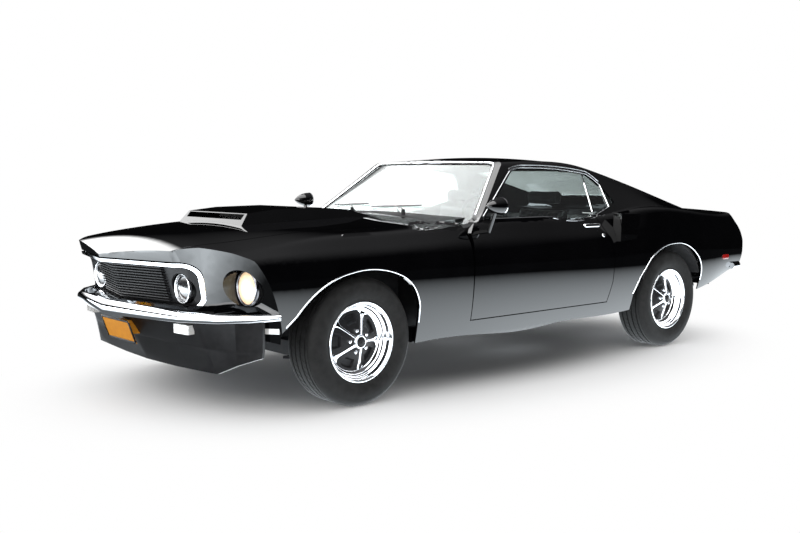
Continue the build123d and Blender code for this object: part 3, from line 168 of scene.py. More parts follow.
lacquer = finish("black_lacquer", (0.0010, 0.0010, 0.0013), (0.0018, 0.0018, 0.0022), (0.07, 0.12),
                 grain=5.0, bump=0.012, bump_scale=900.0, coat=1.0, coat_roughness=0.012)
lacquer.node_tree.nodes["Principled BSDF"].inputs["Specular IOR Level"].default_value = 0.0
satin_black = finish("satin_black_paint", (0.010, 0.010, 0.011), (0.016, 0.016, 0.017), (0.30, 0.40),
                     grain=30.0, bump=0.05, bump_scale=1400.0)
chrome = finish("bright_chrome", (0.74, 0.75, 0.77), (0.82, 0.83, 0.85), (0.035, 0.075), grain=12.0,
                bump=0.01, bump_scale=500.0, metallic=1.0)
pocket_black = finish("wheel_pocket_black", (0.010, 0.010, 0.011), (0.017, 0.017, 0.018),
                      (0.35, 0.5), grain=90.0, bump=0.08, bump_scale=1200.0)
grille_black = finish("grille_black", (0.008, 0.008, 0.009), (0.014, 0.014, 0.015), (0.32, 0.45),
                      grain=80.0, bump=0.06, bump_scale=1500.0)
rubber = finish("tyre_rubber", (0.010, 0.010, 0.010), (0.021, 0.021, 0.021), (0.62, 0.82),
                grain=24.0, bump=0.25, bump_scale=700.0)
underseal = finish("underseal", (0.012, 0.012, 0.013), (0.024, 0.024, 0.025), (0.6, 0.8), grain=22.0,
                   bump=0.5, bump_scale=260.0)
steel = finish("worn_steel", (0.22, 0.22, 0.23), (0.34, 0.33, 0.32), (0.32, 0.5), grain=18.0,
               bump=0.12, bump_scale=600.0, metallic=1.0)
iron = finish("engine_iron", (0.012, 0.014, 0.018), (0.03, 0.034, 0.04), (0.45, 0.65), grain=40.0,
              bump=0.4, bump_scale=350.0, metallic=0.3)
vinyl = finish("black_vinyl", (0.008, 0.008, 0.009), (0.015, 0.015, 0.016), (0.38, 0.5), grain=45.0,
               bump=0.35, bump_scale=1100.0, sheen=0.05)
plastic = finish("dash_plastic", (0.010, 0.010, 0.011), (0.018, 0.018, 0.019), (0.45, 0.58),
                 grain=70.0, bump=0.3, bump_scale=1600.0)
carpet = finish("loop_carpet", (0.006, 0.006, 0.007), (0.016, 0.016, 0.017), (0.85, 0.95),
                grain=300.0, bump=0.9, bump_scale=1400.0, sheen=0.2)
plate_orange = finish("plate_orange", (0.66, 0.24, 0.004), (0.74, 0.30, 0.008), (0.3, 0.42), grain=40.0,
                      bump=0.05, bump_scale=800.0)
window_glass = glazing("window_glass", (0.84, 0.92, 0.91), (0.0, 0.010), 1.0)
red_lens = finish("red_lens", (0.30, 0.006, 0.006), (0.42, 0.012, 0.010), (0.08, 0.16), grain=60.0,
                  bump=0.08, bump_scale=500.0, coat=0.6)
mirror_glass = finish("mirror_glass", (0.80, 0.82, 0.84), (0.86, 0.88, 0.90), (0.01, 0.03),
                      grain=8.0, metallic=1.0)
clear_lens = finish("clear_lens", (0.72, 0.72, 0.70), (0.88, 0.88, 0.86), (0.1, 0.2), grain=80.0,
                    bump=0.2, bump_scale=260.0, coat=0.7)
matt_shine = 0.15
for matt in (satin_black, pocket_black, grille_black, rubber, underseal, vinyl, plastic, carpet):
    matt.node_tree.nodes["Principled BSDF"].inputs["Specular IOR Level"].default_value = matt_shine
print("finishes:", len(bpy.data.materials))

# %% [markdown]
# ## Helpers for shapes
# A CAD node arrives as loose triangles, which shade flat. A merged copy lets neighbouring faces
# share their corners, so its curved skin can shade smoothly while true edges stay crisp. The copy
# stands for the node, and the node itself stays untouched underneath.


# %% Objects, bodies and slots
def link(name, mesh):
    """A new object for a mesh, in the scene."""
    piece = bpy.data.objects.new(name, mesh)
    bpy.context.scene.collection.objects.link(piece)
    return piece


def settle(piece, material, body, slot, *nodes):
    """Gives a finished piece its material and its body, and hides the CAD nodes it stands for. The slot is
    not used.
    """
    piece.data.materials.clear()
    piece.data.materials.append(material)
    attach(piece, body)
    if nodes:
        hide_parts(*nodes)
    return piece


def mesh_from(name, points, faces, sharp=35.0):
    """A smooth-shaded mesh with crisp edges where faces meet at more than the sharp angle."""
    mesh = bpy.data.meshes.new(name)
    mesh.from_pydata([tuple(p) for p in points], [], [tuple(f) for f in faces])
    mesh.validate()
    mesh.shade_smooth()
    mesh.set_sharp_from_angle(angle=math.radians(sharp))
    return mesh


def outward(mesh):
    """Merges doubles and points every face outwards."""
    work = bmesh.new()
    work.from_mesh(mesh)
    bmesh.ops.remove_doubles(work, verts=work.verts, dist=0.00001)
    bmesh.ops.recalc_face_normals(work, faces=work.faces)
    work.to_mesh(mesh)
    work.free()
    mesh.shade_smooth()
    return mesh


def merged_arrays(node, tolerance=0.00002):
    """A CAD node's corners and triangles, with corners that coincide made one."""
    data = frame["nodes"][node].data
    corners = np.zeros(len(data.vertices) * 3, np.float64)
    data.vertices.foreach_get("co", corners)
    corners = corners.reshape(-1, 3)
    data.calc_loop_triangles()
    triangles = np.zeros(len(data.loop_triangles) * 3, np.int64)
    data.loop_triangles.foreach_get("vertices", triangles)
    keys = np.round(corners / tolerance).astype(np.int64)
    _, first, back = np.unique(keys, axis=0, return_index=True, return_inverse=True)
    triangles = back.reshape(-1)[triangles].reshape(-1, 3)
    whole = ((triangles[:, 0] != triangles[:, 1]) & (triangles[:, 1] != triangles[:, 2])
             & (triangles[:, 0] != triangles[:, 2]))
    return corners[first], triangles[whole]


def smooth_copy(node):
    """A merged, smooth-shaded copy of a CAD node's mesh."""
    points, triangles = merged_arrays(node)
    return mesh_from(node + "_skin", points, triangles.tolist(), 30.0)


def surface_of(*nodes):
    """A search tree over several CAD nodes, to find points on their skin."""
    points, faces, start = [], [], 0
    for node in nodes:
        corners, triangles = merged_arrays(node)
        points.append(corners)
        faces.append(triangles + start)
        start += len(corners)
    return BVHTree.FromPolygons(np.vstack(points).tolist(), np.vstack(faces).tolist())


def hit(tree, start, direction):
    """The place and the outward normal where a ray first meets a skin, or None."""
    place, normal, _, _ = tree.ray_cast(Vector(start), Vector(direction))
    if place is None:
        return None
    if normal.dot(Vector(direction)) > 0:
        normal.negate()
    return place, normal


print("skins of", sum(len(o.data.polygons) for o in frame["nodes"].values()), "triangles")


# %% Strips that follow a line on the skin
def resampled(points, spacing):
    """Points at an even spacing along a polyline."""
    points = np.array(points, float)
    lengths = np.concatenate([[0], np.cumsum(np.linalg.norm(np.diff(points, axis=0), axis=1))])
    count = max(2, int(round(lengths[-1] / spacing)) + 1)
    steps = np.linspace(0, lengths[-1], count)
    return np.stack([np.interp(steps, lengths, points[:, k]) for k in range(points.shape[1])], axis=1)


def lofted(name, rings, sharp=40.0):
    """A closed mesh through equal rings of points, with both ends closed."""
    size = len(rings[0])
    points = [p for ring in rings for p in ring]
    faces = []
    for row in range(len(rings) - 1):
        for k in range(size):
            low, high = row * size, (row + 1) * size
            faces.append((low + k, low + (k + 1) % size, high + (k + 1) % size, high + k))
    faces.append(tuple(range(size)))
    faces.append(tuple(range((len(rings) - 1) * size, len(rings) * size)))
    return outward(mesh_from(name, points, faces, sharp))


def strip_mesh(name, places, normals, width, height, sink=0.001, arc=7):
    """A bright strip: a half-oval section swept along places on a skin, standing on its normals."""
    last = len(places) - 1
    angles = [math.pi * k / (arc - 1) for k in range(arc)]
    rings = []
    for index in range(last + 1):
        before, after = places[max(index - 1, 0)], places[min(index + 1, last)]
        along = (Vector(after) - Vector(before)).normalized()
        normal = Vector(normals[index]).normalized()
        side = along.cross(normal).normalized()
        normal = side.cross(along).normalized()
        centre = Vector(places[index]) - normal * sink
        rings.append([centre + side * (math.cos(a) * width / 2) + normal * (math.sin(a) * (height + sink))
                      for a in angles])
    return lofted(name, rings, 60.0)


def side_line(tree, line, side, spacing=0.012):
    """A side-view line of (x, z) dropped on to one flank of the car."""
    places, normals = [], []
    for x, z in resampled(line, spacing):
        found = hit(tree, (x, side * 1.5, z), (0, -side, 0))
        if found:
            places.append(found[0])
            normals.append(found[1])
    return places, normals


# %% [markdown]
# ## Turned copies
# Much of a wheel repeats: five spokes, five nuts, dozens of tread blocks. A Geometry Nodes tree can
# do this from one small mesh. It lays out points, puts an instance on each, turns it by its index,
# and ends in Realize Instances and Set Material, so that a plain mesh can be taken from it.


# %% The repeating tree
def turned_tree():
    """Copies a piece around the Y axis: Count copies, each turned by an equal share."""
    tree = bpy.data.node_groups.new("turned_copies", "GeometryNodeTree")
    for label, kind in (("Piece", "Geometry"), ("Count", "Int"), ("First angle", "Float"),
                        ("Finish", "Material")):
        tree.interface.new_socket(label, in_out="INPUT", socket_type="NodeSocket" + kind)
    tree.interface.new_socket("Result", in_out="OUTPUT", socket_type="NodeSocketGeometry")
    start, end, points, index, divide, times, plus, turn, place, real, paint = (
        tree.nodes.new(kind) for kind in (
            "NodeGroupInput", "NodeGroupOutput", "GeometryNodePoints", "GeometryNodeInputIndex",
            "ShaderNodeMath", "ShaderNodeMath", "ShaderNodeMath", "ShaderNodeCombineXYZ",
            "GeometryNodeInstanceOnPoints", "GeometryNodeRealizeInstances", "GeometryNodeSetMaterial"))
    divide.operation, times.operation, plus.operation = "DIVIDE", "MULTIPLY", "ADD"
    divide.inputs[0].default_value = math.tau
    for source, target in (
            (start.outputs["Count"], points.inputs["Count"]), (start.outputs["Count"], divide.inputs[1]),
            (index.outputs[0], times.inputs[0]), (divide.outputs[0], times.inputs[1]),
            (times.outputs[0], plus.inputs[0]), (start.outputs["First angle"], plus.inputs[1]),
            (plus.outputs[0], turn.inputs["Y"]), (points.outputs[0], place.inputs["Points"]),
            (start.outputs["Piece"], place.inputs["Instance"]), (turn.outputs[0], place.inputs["Rotation"]),
            (place.outputs["Instances"], real.inputs["Geometry"]),
            (real.outputs["Geometry"], paint.inputs["Geometry"]),
            (start.outputs["Finish"], paint.inputs["Material"]),
            (paint.outputs["Geometry"], end.inputs["Result"])):
        tree.links.new(source, target)
    return tree


def copies(tree, mesh, material, **values):
    """Runs a repeating tree on a mesh and returns the plain mesh that it makes."""
    carrier = link("carrier", mesh)
    modifier = carrier.modifiers.new("copies", "NODES")
    modifier.node_group = tree
    sockets = {s.name: s.identifier for s in tree.interface.items_tree if s.in_out == "INPUT"}
    for label, value in values.items():
        modifier[sockets[label.replace("_", " ")]] = value
    modifier[sockets["Finish"]] = material
    bpy.context.view_layer.update()
    evaluated = carrier.evaluated_get(bpy.context.evaluated_depsgraph_get())
    result = bpy.data.meshes.new_from_object(evaluated)
    bpy.data.objects.remove(carrier)
    return result


turned = turned_tree()
print("trees:", [t.name for t in bpy.data.node_groups])


# %% [markdown]
# ## One smooth skin under all the painted panels
# A CAD mesh has just enough triangles to hold its shape. Under black lacquer every one of them shows,
# because a reflection follows the slope of the surface and not its place. So the painted panels are
# cut finer here, and their outer points are laid on one master skin: the body's own cross-sections,
# joined from nose to tail by a natural cubic spline, with their creases rounded a little. The master
# gives each corner its shading normal too, so a highlight runs over the seams without a break.

# %% Cross-sections of the lower body and the greenhouse
front_axle_x = -1.395
# station behind the front axle, top z, crest y, z, crease y, z, waist y, z, sill y, z
body_rows = [
    (-1.010, 0.764, 0.660, 0.742, 0.790, 0.706, 0.822, 0.620, 0.790, 0.484),
    (-0.850, 0.846, 0.740, 0.790, 0.836, 0.752, 0.862, 0.632, 0.815, 0.470),
    (-0.650, 0.892, 0.780, 0.808, 0.868, 0.776, 0.888, 0.648, 0.842, 0.420),
    (-0.300, 0.920, 0.792, 0.852, 0.882, 0.785, 0.904, 0.662, 0.858, 0.320),
    (0.250, 0.940, 0.797, 0.874, 0.885, 0.790, 0.907, 0.668, 0.864, 0.284),
    (0.850, 0.948, 0.802, 0.909, 0.873, 0.808, 0.907, 0.662, 0.864, 0.282),
    (1.500, 0.938, 0.808, 0.922, 0.876, 0.802, 0.908, 0.652, 0.864, 0.283),
    (2.050, 0.938, 0.816, 0.924, 0.882, 0.800, 0.908, 0.642, 0.864, 0.286),
    (2.450, 0.985, 0.838, 0.962, 0.890, 0.808, 0.907, 0.645, 0.864, 0.310),
    (2.900, 0.975, 0.834, 0.948, 0.888, 0.800, 0.902, 0.640, 0.862, 0.350),
    (3.300, 0.938, 0.814, 0.910, 0.872, 0.786, 0.888, 0.630, 0.850, 0.410),
    (3.560, 0.932, 0.792, 0.900, 0.852, 0.768, 0.868, 0.622, 0.836, 0.480),
    (3.790, 0.950, 0.768, 0.922, 0.836, 0.764, 0.850, 0.618, 0.822, 0.490),
]
# station, foot y, shoulder y, shoulder z, roof centre z
roof_rows = [
    (0.600, 0.818, 0.588, 1.212, 1.250), (1.240, 0.820, 0.598, 1.224, 1.266),
    (1.620, 0.826, 0.606, 1.236, 1.290), (2.000, 0.830, 0.612, 1.218, 1.266),
    (2.240, 0.832, 0.616, 1.172, 1.220), (2.700, 0.828, 0.614, 1.066, 1.110),
    (3.150, 0.814, 0.606, 0.956, 1.004), (3.400, 0.800, 0.600, 0.896, 0.940),
]
roof_base_z = 0.860
shoulder_radius = 0.055


def arc_through(a, b, c, count):
    """Points on the circle from a over b to c, without the last."""
    (ax, ay), (bx, by), (cx, cy) = a, b, c
    d = 2 * (ax * (by - cy) + bx * (cy - ay) + cx * (ay - by))
    if abs(d) < 1e-9:
        return [(ax + (cx - ax) * k / count, ay + (cy - ay) * k / count) for k in range(count)]
    sa, sb, sc = ax * ax + ay * ay, bx * bx + by * by, cx * cx + cy * cy
    ox = (sa * (by - cy) + sb * (cy - ay) + sc * (ay - by)) / d
    oy = (sa * (cx - bx) + sb * (ax - cx) + sc * (bx - ax)) / d
    start = math.atan2(ay - oy, ax - ox)
    middle = (math.atan2(by - oy, bx - ox) - start) % math.tau
    whole = (math.atan2(cy - oy, cx - ox) - start) % math.tau
    if middle > whole:
        whole -= math.tau
    radius = math.hypot(ax - ox, ay - oy)
    return [(ox + radius * math.cos(start + whole * k / count),
             oy + radius * math.sin(start + whole * k / count)) for k in range(count)]


def body_curve(row):
    """The body's half section from the centre line over crest, crease and waist to the sill."""
    _, top, crest_y, crest_z, crease_y, crease_z, waist_y, waist_z, sill_y, sill_z = row
    crest, crease, waist = (crest_y, crest_z), (crease_y, crease_z), (waist_y, waist_z)
    above = (waist_y - (waist_y - crease_y) / 4, (waist_z + crease_z) / 2)
    below = (waist_y - (waist_y - sill_y) / 4, (waist_z + sill_z) / 2)
    crown = arc_through((-crest_y, crest_z), (0.0, top), crest, 96)[48:]
    side = arc_through(crest, ((crest_y + crease_y) / 2, (crest_z + crease_z) / 2), crease, 12)
    upper = arc_through(crease, above, waist, 20)
    lower = arc_through(waist, below, (sill_y, sill_z), 28)
    return crown + side + upper + lower + [(sill_y, sill_z)]


def roof_curve(row):
    """The greenhouse's half section from the centre line over the shoulder down to the foot."""
    _, foot_y, shoulder_y, shoulder_z, top = row
    edge, foot = (shoulder_y, shoulder_z), (foot_y, roof_base_z)
    brow = (edge[0] - shoulder_radius, edge[1] + 0.45 * shoulder_radius)
    turn = (edge[0] - 0.2 * shoulder_radius, edge[1] + 0.32 * shoulder_radius)
    crown = arc_through((-brow[0], brow[1]), (0.0, top), brow, 96)[48:]
    shoulder = arc_through(brow, turn, edge, 10)
    side = arc_through(edge, ((edge[0] + foot[0]) / 2, (edge[1] + foot[1]) / 2), foot, 30)
    return crown + shoulder + side + [foot]


def softened(curve, reach):
    """The curve averaged over a short stretch each way, which rounds its corners."""
    curve = np.array(curve)
    mirrored_curve = np.vstack([curve[:0:-1] * (-1, 1), curve])
    steps = np.concatenate([[0], np.cumsum(np.linalg.norm(np.diff(mirrored_curve, axis=0), axis=1))])
    sums = np.vstack([[0, 0], np.cumsum((mirrored_curve[1:] + mirrored_curve[:-1]) / 2
                                        * np.diff(steps)[:, None], axis=0)])
    width = np.minimum(reach, np.minimum(steps, steps[-1] - steps))
    width = np.maximum(width, 1e-5)
    low, high = np.maximum(steps - width, 0), np.minimum(steps + width, steps[-1])
    mean = np.stack([(np.interp(high, steps, sums[:, k]) - np.interp(low, steps, sums[:, k]))
                     / (high - low) for k in range(2)], axis=1)
    return mean[len(curve) - 1:]


def natural_spline(stations, values, places):
    """A natural cubic spline through values at the stations, read at the places."""
    stations, values = np.array(stations), np.array(values)
    gaps = np.diff(stations)
    count = len(stations)
    matrix, right_side = np.eye(count), np.zeros((count,) + values.shape[1:])
    slopes = np.diff(values, axis=0) / gaps.reshape((-1,) + (1,) * (values.ndim - 1))
    for k in range(1, count - 1):
        matrix[k, k - 1:k + 2] = gaps[k - 1], 2 * (gaps[k - 1] + gaps[k]), gaps[k]
        right_side[k] = 6 * (slopes[k] - slopes[k - 1])
    bends = np.linalg.solve(matrix, right_side.reshape(count, -1)).reshape(values.shape)
    spans = np.clip(np.searchsorted(stations, places) - 1, 0, count - 2)
    shape = (-1,) + (1,) * (values.ndim - 1)
    t = (places - stations[spans]).reshape(shape)
    h = gaps[spans].reshape(shape)
    low, high = values[spans], values[spans + 1]
    return ((bends[spans] * (h - t) ** 3 + bends[spans + 1] * t ** 3) / (6 * h)
            + (low / h - bends[spans] * h / 6) * (h - t) + (high / h - bends[spans + 1] * h / 6) * t)


# %% The master skins
class Skin:
    """A smooth grid of points with normals, and a search tree to lay other points on it."""

    def __init__(self, rows, curve, reach, spacing=0.012):
        stations = [front_axle_x + row[0] for row in rows]
        places = np.arange(stations[0], stations[-1] + spacing / 2, spacing)
        sections = np.array([softened(curve(row), reach) for row in rows])
        grid = natural_spline(stations, sections, places)
        right = np.concatenate([np.repeat(places[:, None, None], grid.shape[1], 1), grid], axis=2)
        left = right[:, :0:-1] * (1, -1, 1)
        self.points = np.concatenate([left, right], axis=1)
        along = np.gradient(self.points, axis=0)
        across = np.gradient(self.points, axis=1)
        normals = np.cross(along, across)
        normals /= np.linalg.norm(normals, axis=2, keepdims=True)
        self.normals = normals * np.sign(normals[:, :, 2:3].mean())
        rows_n, columns = self.points.shape[:2]
        corner = np.arange(rows_n * columns).reshape(rows_n, columns)
        quads = np.stack([corner[:-1, :-1], corner[1:, :-1], corner[1:, 1:], corner[:-1, 1:]], -1)
        self.quads = quads.reshape(-1, 4)
        self.flat_points = self.points.reshape(-1, 3)
        self.flat_normals = self.normals.reshape(-1, 3)
        self.corners = self.quads.tolist()
        self.spots = [Vector(p) for p in self.flat_points.tolist()]
        self.slopes = [Vector(n) for n in self.flat_normals.tolist()]
        self.tree = BVHTree.FromPolygons(self.flat_points.tolist(), self.corners)

    def nearest(self, point):
        """The nearest place on the skin, its blended normal and the distance."""
        place, _, index, distance = self.tree.find_nearest(point)
        normal = Vector()
        for corner in self.corners[index]:
            normal += self.slopes[corner] / max((self.spots[corner] - place).length_squared, 1e-12)
        return place, normal.normalized(), distance


lower_skin = Skin(body_rows, body_curve, 0.022)
roof_skin = Skin(roof_rows, roof_curve, 0.020)
print("skin points:", len(lower_skin.flat_points), len(roof_skin.flat_points))


# %% Laying a panel on the skins
def refined(mesh, longest, passes=8):
    """Splits every edge longer than the given length, again and again."""
    work = bmesh.new()
    work.from_mesh(mesh)
    for _ in range(passes):
        long_edges = [edge for edge in work.edges if edge.calc_length() > longest]
        if not long_edges:
            break
        bmesh.ops.subdivide_edges(work, edges=long_edges, cuts=1)
        bmesh.ops.triangulate(work, faces=[face for face in work.faces if len(face.verts) > 3])
    work.to_mesh(mesh)
    work.free()


def laid_panel(node, skins, longest=0.03, reach=0.009, agreement=0.75):
    """A finer copy of a painted panel whose outside lies on the master skins."""
    mesh = smooth_copy(node)
    refined(mesh, longest)
    mesh.shade_smooth()
    corner_normals = [Vector()] * len(mesh.loops)
    laid = {}
    for skin in skins:
        found = {}
        for vertex in mesh.vertices:
            place, normal, distance = skin.nearest(vertex.co)
            if distance < reach:
                found[vertex.index] = (place, normal)
        for face in mesh.polygons:
            corners = face.vertices
            if all(c in found and found[c][1].dot(face.normal) > agreement for c in corners):
                for loop_index, corner in zip(face.loop_indices, corners):
                    corner_normals[loop_index] = found[corner][1]
                    laid.setdefault(corner, found[corner])
    for corner, (place, normal) in laid.items():
        vertex = mesh.vertices[corner]
        vertex.co += (place - vertex.co).project(normal)
    mesh.set_sharp_from_angle(angle=math.radians(32))
    mesh.normals_split_custom_set(corner_normals)
    return mesh


# %% [markdown]
# ## Painted panels
# Pressed steel under many coats of black lacquer. Each panel is a finer copy of its CAD node, laid on
# the master skin. The scoop, the mirrors, the cowl, the valance and the spoiler lie off that skin, so
# they keep the CAD shape. The last three are in a flatter black than the body.

# %% Panels
lacquered = {
    "body": ["front_fenders", "rocker_panels", "quarter_panels", "roof", "rear_deck", "tail_panel"],
    "hood": ["hood", "hood_scoop"],
    "trunk_lid": ["trunk_lid"],
    "left_door": ["left_door", "left_mirror"],
    "right_door": ["right_door", "right_mirror"],
}
cut_parts = ("hood_scoop", "left_mirror", "right_mirror")
slots = {entry["node"]: entry["material_slot"] for entry in frame["record"]["subparts"]}
for body, names in lacquered.items():
    for name in names:
        mesh = smooth_copy(name) if name in cut_parts else laid_panel(name, (lower_skin, roof_skin))
        settle(link(name + "_shell", mesh), lacquer, body, slots[name], name)
flat_black = ("chin_spoiler", "cowl", "front_valance")
for name in flat_black:
    settle(link(name + "_shell", smooth_copy(name)), satin_black, "body", slots[name], name)
print("panels:", sum(len(names) for names in lacquered.values()) + len(flat_black))

# %% [markdown]
# ## Parts that keep their CAD shape
# Underneath and behind the grille the CAD solids are already right. They get smooth copies too, in
# underseal, cast iron, worn steel and moulded plastic.

# %% Underbody, engine and cabin shells
plain_parts = [
    (underseal, "body", ["floor_pan", "aprons", "front_suspension", "rear_axle", "fuel_tank"]),
    (iron, "body", ["engine"]),
    (steel, "body", ["driveshaft", "exhaust"]),
    (steel, "left_knuckle", ["left_knuckle"]),
    (steel, "right_knuckle", ["right_knuckle"]),
    (plastic, "body", ["dashboard", "steering_column"]),
    (carpet, "body", ["parcel_shelf"]),
    (vinyl, "left_door", ["left_door_trim"]),
    (vinyl, "right_door", ["right_door_trim"]),
    (chrome, "body", ["grille_moulding", "front_bumper", "rear_bumper"]),
    (grille_black, "body", ["grille"]),
]
for material, body, names in plain_parts:
    for name in names:
        settle(link(name + "_skin", smooth_copy(name)), material, body, slots[name], name)

# %% [markdown]
# ## Glass
# Car glass is nearly clear with a faint green tint. Its look comes from what it reflects and from
# the dark cabin behind it, so the finish is a thin transmission shader with barely any roughness.

# %% Windows
panes = {"body": ["windshield", "rear_window", "quarter_windows"],
         "left_door": ["left_door_glass"], "right_door": ["right_door_glass"]}
for body, names in panes.items():
    for name in names:
        settle(link(name + "_pane", smooth_copy(name)), window_glass, body, slots[name], name)
print("panes:", sum(len(names) for names in panes.values()))

# %% [markdown]
# ## Wheels
# A styled steel wheel of the period is a deep chromed rim with a pressed centre. The centre bulges
# outwards to the hub, five slim bright spokes run over it, and the fields between them are black
# with a sunk window in each. The rim and the centre are turned profiles. One spoke is modelled, and
# the turning tree makes five of it. The same tree repeats the wheel nuts and the tread blocks.

# %% Turned profiles
wheel_centres = {"front_left": (-1.395, -1), "front_right": (-1.395, 1),
                 "rear_left": (1.348, -1), "rear_right": (1.348, 1)}
wheel_half_track = 0.755
axle_height = 0.330
first_spoke = math.radians(68)


def turned_mesh(name, profile, steps=128, sharp=32.0, wave=None):
    """Turns a profile of (radius, y) around the Y axis. wave may shift y by radius and angle."""
    rows = len(profile)
    points = []
    for step in range(steps):
        angle = math.tau * step / steps
        for radius, y in profile:
            lift = wave(radius, angle) if wave else 0.0
            points.append((radius * math.cos(angle), y + lift, radius * math.sin(angle)))
    faces = []
    for step in range(steps):
        low, high = step * rows, (step + 1) % steps * rows
        for k in range(rows):
            j = (k + 1) % rows
            faces.append((low + k, low + j, high + j, high + k))
    return outward(mesh_from(name, points, faces, sharp))


def soft_profile(points, passes=2):
    """A closed profile whose corners are cut a few times, for pressed and moulded shapes."""
    points = [np.array(p, float) for p in points]
    for _ in range(passes):
        pairs = zip(points, points[1:] + points[:1])
        points = [q for a, b in pairs for q in (0.75 * a + 0.25 * b, 0.25 * a + 0.75 * b)]
    return [tuple(p) for p in points]


rim_profile = soft_profile([
    (0.2005, 0.0995), (0.2065, 0.0985), (0.2085, 0.094), (0.2065, 0.0895), (0.1925, 0.0885),
    (0.1920, 0.058), (0.1795, 0.046), (0.1795, -0.046), (0.1920, -0.058), (0.1925, -0.0885),
    (0.2065, -0.0895), (0.2080, -0.095), (0.2050, -0.0990), (0.1985, -0.0985), (0.1860, -0.084),
    (0.1730, -0.050), (0.1690, 0.000), (0.1560, 0.014), (0.1530, 0.024), (0.1560, 0.034),
    (0.1700, 0.040), (0.1760, 0.048), (0.1780, 0.058), (0.1860, 0.064), (0.1885, 0.072),
    (0.1895, 0.088), (0.1950, 0.094)])


def window_sink(radius, angle):
    """Sinks the black centre into a window between each pair of spokes."""
    turn = (angle - first_spoke) % (math.tau / 5) - math.tau / 10
    across = min(1.0, max(0.0, (0.30 - abs(turn)) / 0.05))
    along = min(1.0, max(0.0, (0.022 - abs(radius - 0.118)) / 0.004))
    return -0.016 * across * along


centre_profile = [(0.1545, 0.026), (0.146, 0.0262), (0.1425, 0.0266), (0.139, 0.0275), (0.135, 0.029),
                  (0.118, 0.035), (0.101, 0.0415), (0.097, 0.043), (0.093, 0.0445), (0.080, 0.0495),
                  (0.066, 0.055), (0.054, 0.060), (0.046, 0.066), (0.040, 0.073), (0.030, 0.075),
                  (0.030, 0.050), (0.060, 0.040), (0.100, 0.020), (0.150, 0.004)]
cap_profile = soft_profile([(0.0005, 0.0905), (0.016, 0.0895), (0.0235, 0.0865), (0.0250, 0.0850),
                            (0.0250, 0.060), (0.0005, 0.060)])
cap_ring_profile = soft_profile([(0.0255, 0.0875), (0.0290, 0.0900), (0.0345, 0.0870), (0.0370, 0.080),
                                 (0.0385, 0.066), (0.0255, 0.064)])
print("rim profile points:", len(rim_profile))

# %% One spoke, one nut
spoke_stations = [(0.034, 0.0070, 0.0815), (0.044, 0.0062, 0.0765), (0.060, 0.0056, 0.0680),
                  (0.080, 0.0056, 0.0590), (0.100, 0.0060, 0.0500), (0.118, 0.0070, 0.0425),
                  (0.130, 0.0092, 0.0380), (0.140, 0.0135, 0.0348), (0.1475, 0.0215, 0.0330),
                  (0.1535, 0.0340, 0.0325)]


def spoke_mesh():
    """One bright spoke along +X: slim, crowned, and flared where it meets the rim."""
    section = [(-1.0, -0.012), (-1.0, -0.0030), (-0.72, -0.0004), (-0.35, 0.0), (0.0, -0.0008),
               (0.35, 0.0), (0.72, -0.0004), (1.0, -0.0030), (1.0, -0.012)]
    rings = []
    for radius, half, top in spoke_stations:
        ring = []
        for across, drop in section:
            inward = radius if radius <= 0.14 else math.sqrt(max(radius ** 2 - (half * across) ** 2, 0))
            ring.append((inward, top + drop, half * across))
        rings.append(ring)
    return lofted("spoke", rings, 50.0)


def nut_mesh():
    """One six-sided wheel nut with a domed end, standing at the bolt circle on +X."""
    bolt_circle_radius, sides = 0.0572, 12
    rings = []
    for row, (radius, y) in enumerate([(0.0105, 0.054), (0.0105, 0.068), (0.0085, 0.0735),
                                       (0.0045, 0.0765), (0.0004, 0.0772)]):
        ring = []
        for k in range(sides):
            angle = math.tau * k / sides
            flat = radius if k % 2 == 0 or row > 1 else radius * math.cos(math.pi / 6)
            ring.append((bolt_circle_radius + flat * math.cos(angle), y, flat * math.sin(angle)))
        rings.append(ring)
    return lofted("nut", rings, 30.0)


def placed(mesh, x, side):
    """Moves a wheel mesh, made with +Y outwards at the origin, to its wheel on the given side."""
    if side < 0:
        mesh.transform(Matrix.Scale(-1, 4, (0, 1, 0)))
        mesh.flip_normals()
    mesh.transform(Matrix.Translation((x, side * wheel_half_track, axle_height)))
    return mesh


# %% [markdown]
# ## Tyres
# Wide belted tyres with a plain black wall, a rib that guards the rim, and a grooved tread. The
# carcass is one turned profile with its grooves in it. The cross cuts that break the ribs into
# blocks come from the turning tree.

# %% Tyre profile and tread blocks
tread_half = 0.078
groove_lines = (-0.056, -0.019, 0.019, 0.056)
groove_half = 0.0035
groove_depth = 0.0065
crown_radius = 0.3288


def crown(y):
    """The tread's radius at a distance y from its middle."""
    return crown_radius - 0.32 * y * y


def tyre_profile():
    """The tyre's section: bead, wall, shoulder and grooved tread, then the inside."""
    wall = [(0.1935, 0.072), (0.1935, 0.0885), (0.2050, 0.0905), (0.2110, 0.0960), (0.2150, 0.0990),
            (0.2200, 0.0995), (0.2250, 0.1030), (0.2400, 0.1095), (0.2560, 0.1130), (0.2700, 0.1138),
            (0.2860, 0.1118), (0.2960, 0.1085), (0.2985, 0.1085), (0.3080, 0.1030), (0.3170, 0.0950),
            (0.3225, 0.0880), (0.3262, 0.0800)]
    tread = []
    for line in reversed(groove_lines):
        outer, inner = line + groove_half, line - groove_half
        tread += [(crown(outer), outer + 0.0004), (crown(outer) - groove_depth, outer - 0.0008),
                  (crown(inner) - groove_depth, inner + 0.0008), (crown(inner), inner - 0.0004)]
    belt = [(0.312, -0.074), (0.314, 0.0), (0.312, 0.074)]
    shoulder = [(0.286, 0.100), (0.264, 0.103), (0.236, 0.096)]
    far_wall = [(radius, -y) for radius, y in reversed(wall)]
    far = [(radius, -y) for radius, y in reversed(shoulder)]
    return wall + tread + far_wall + far + belt + shoulder


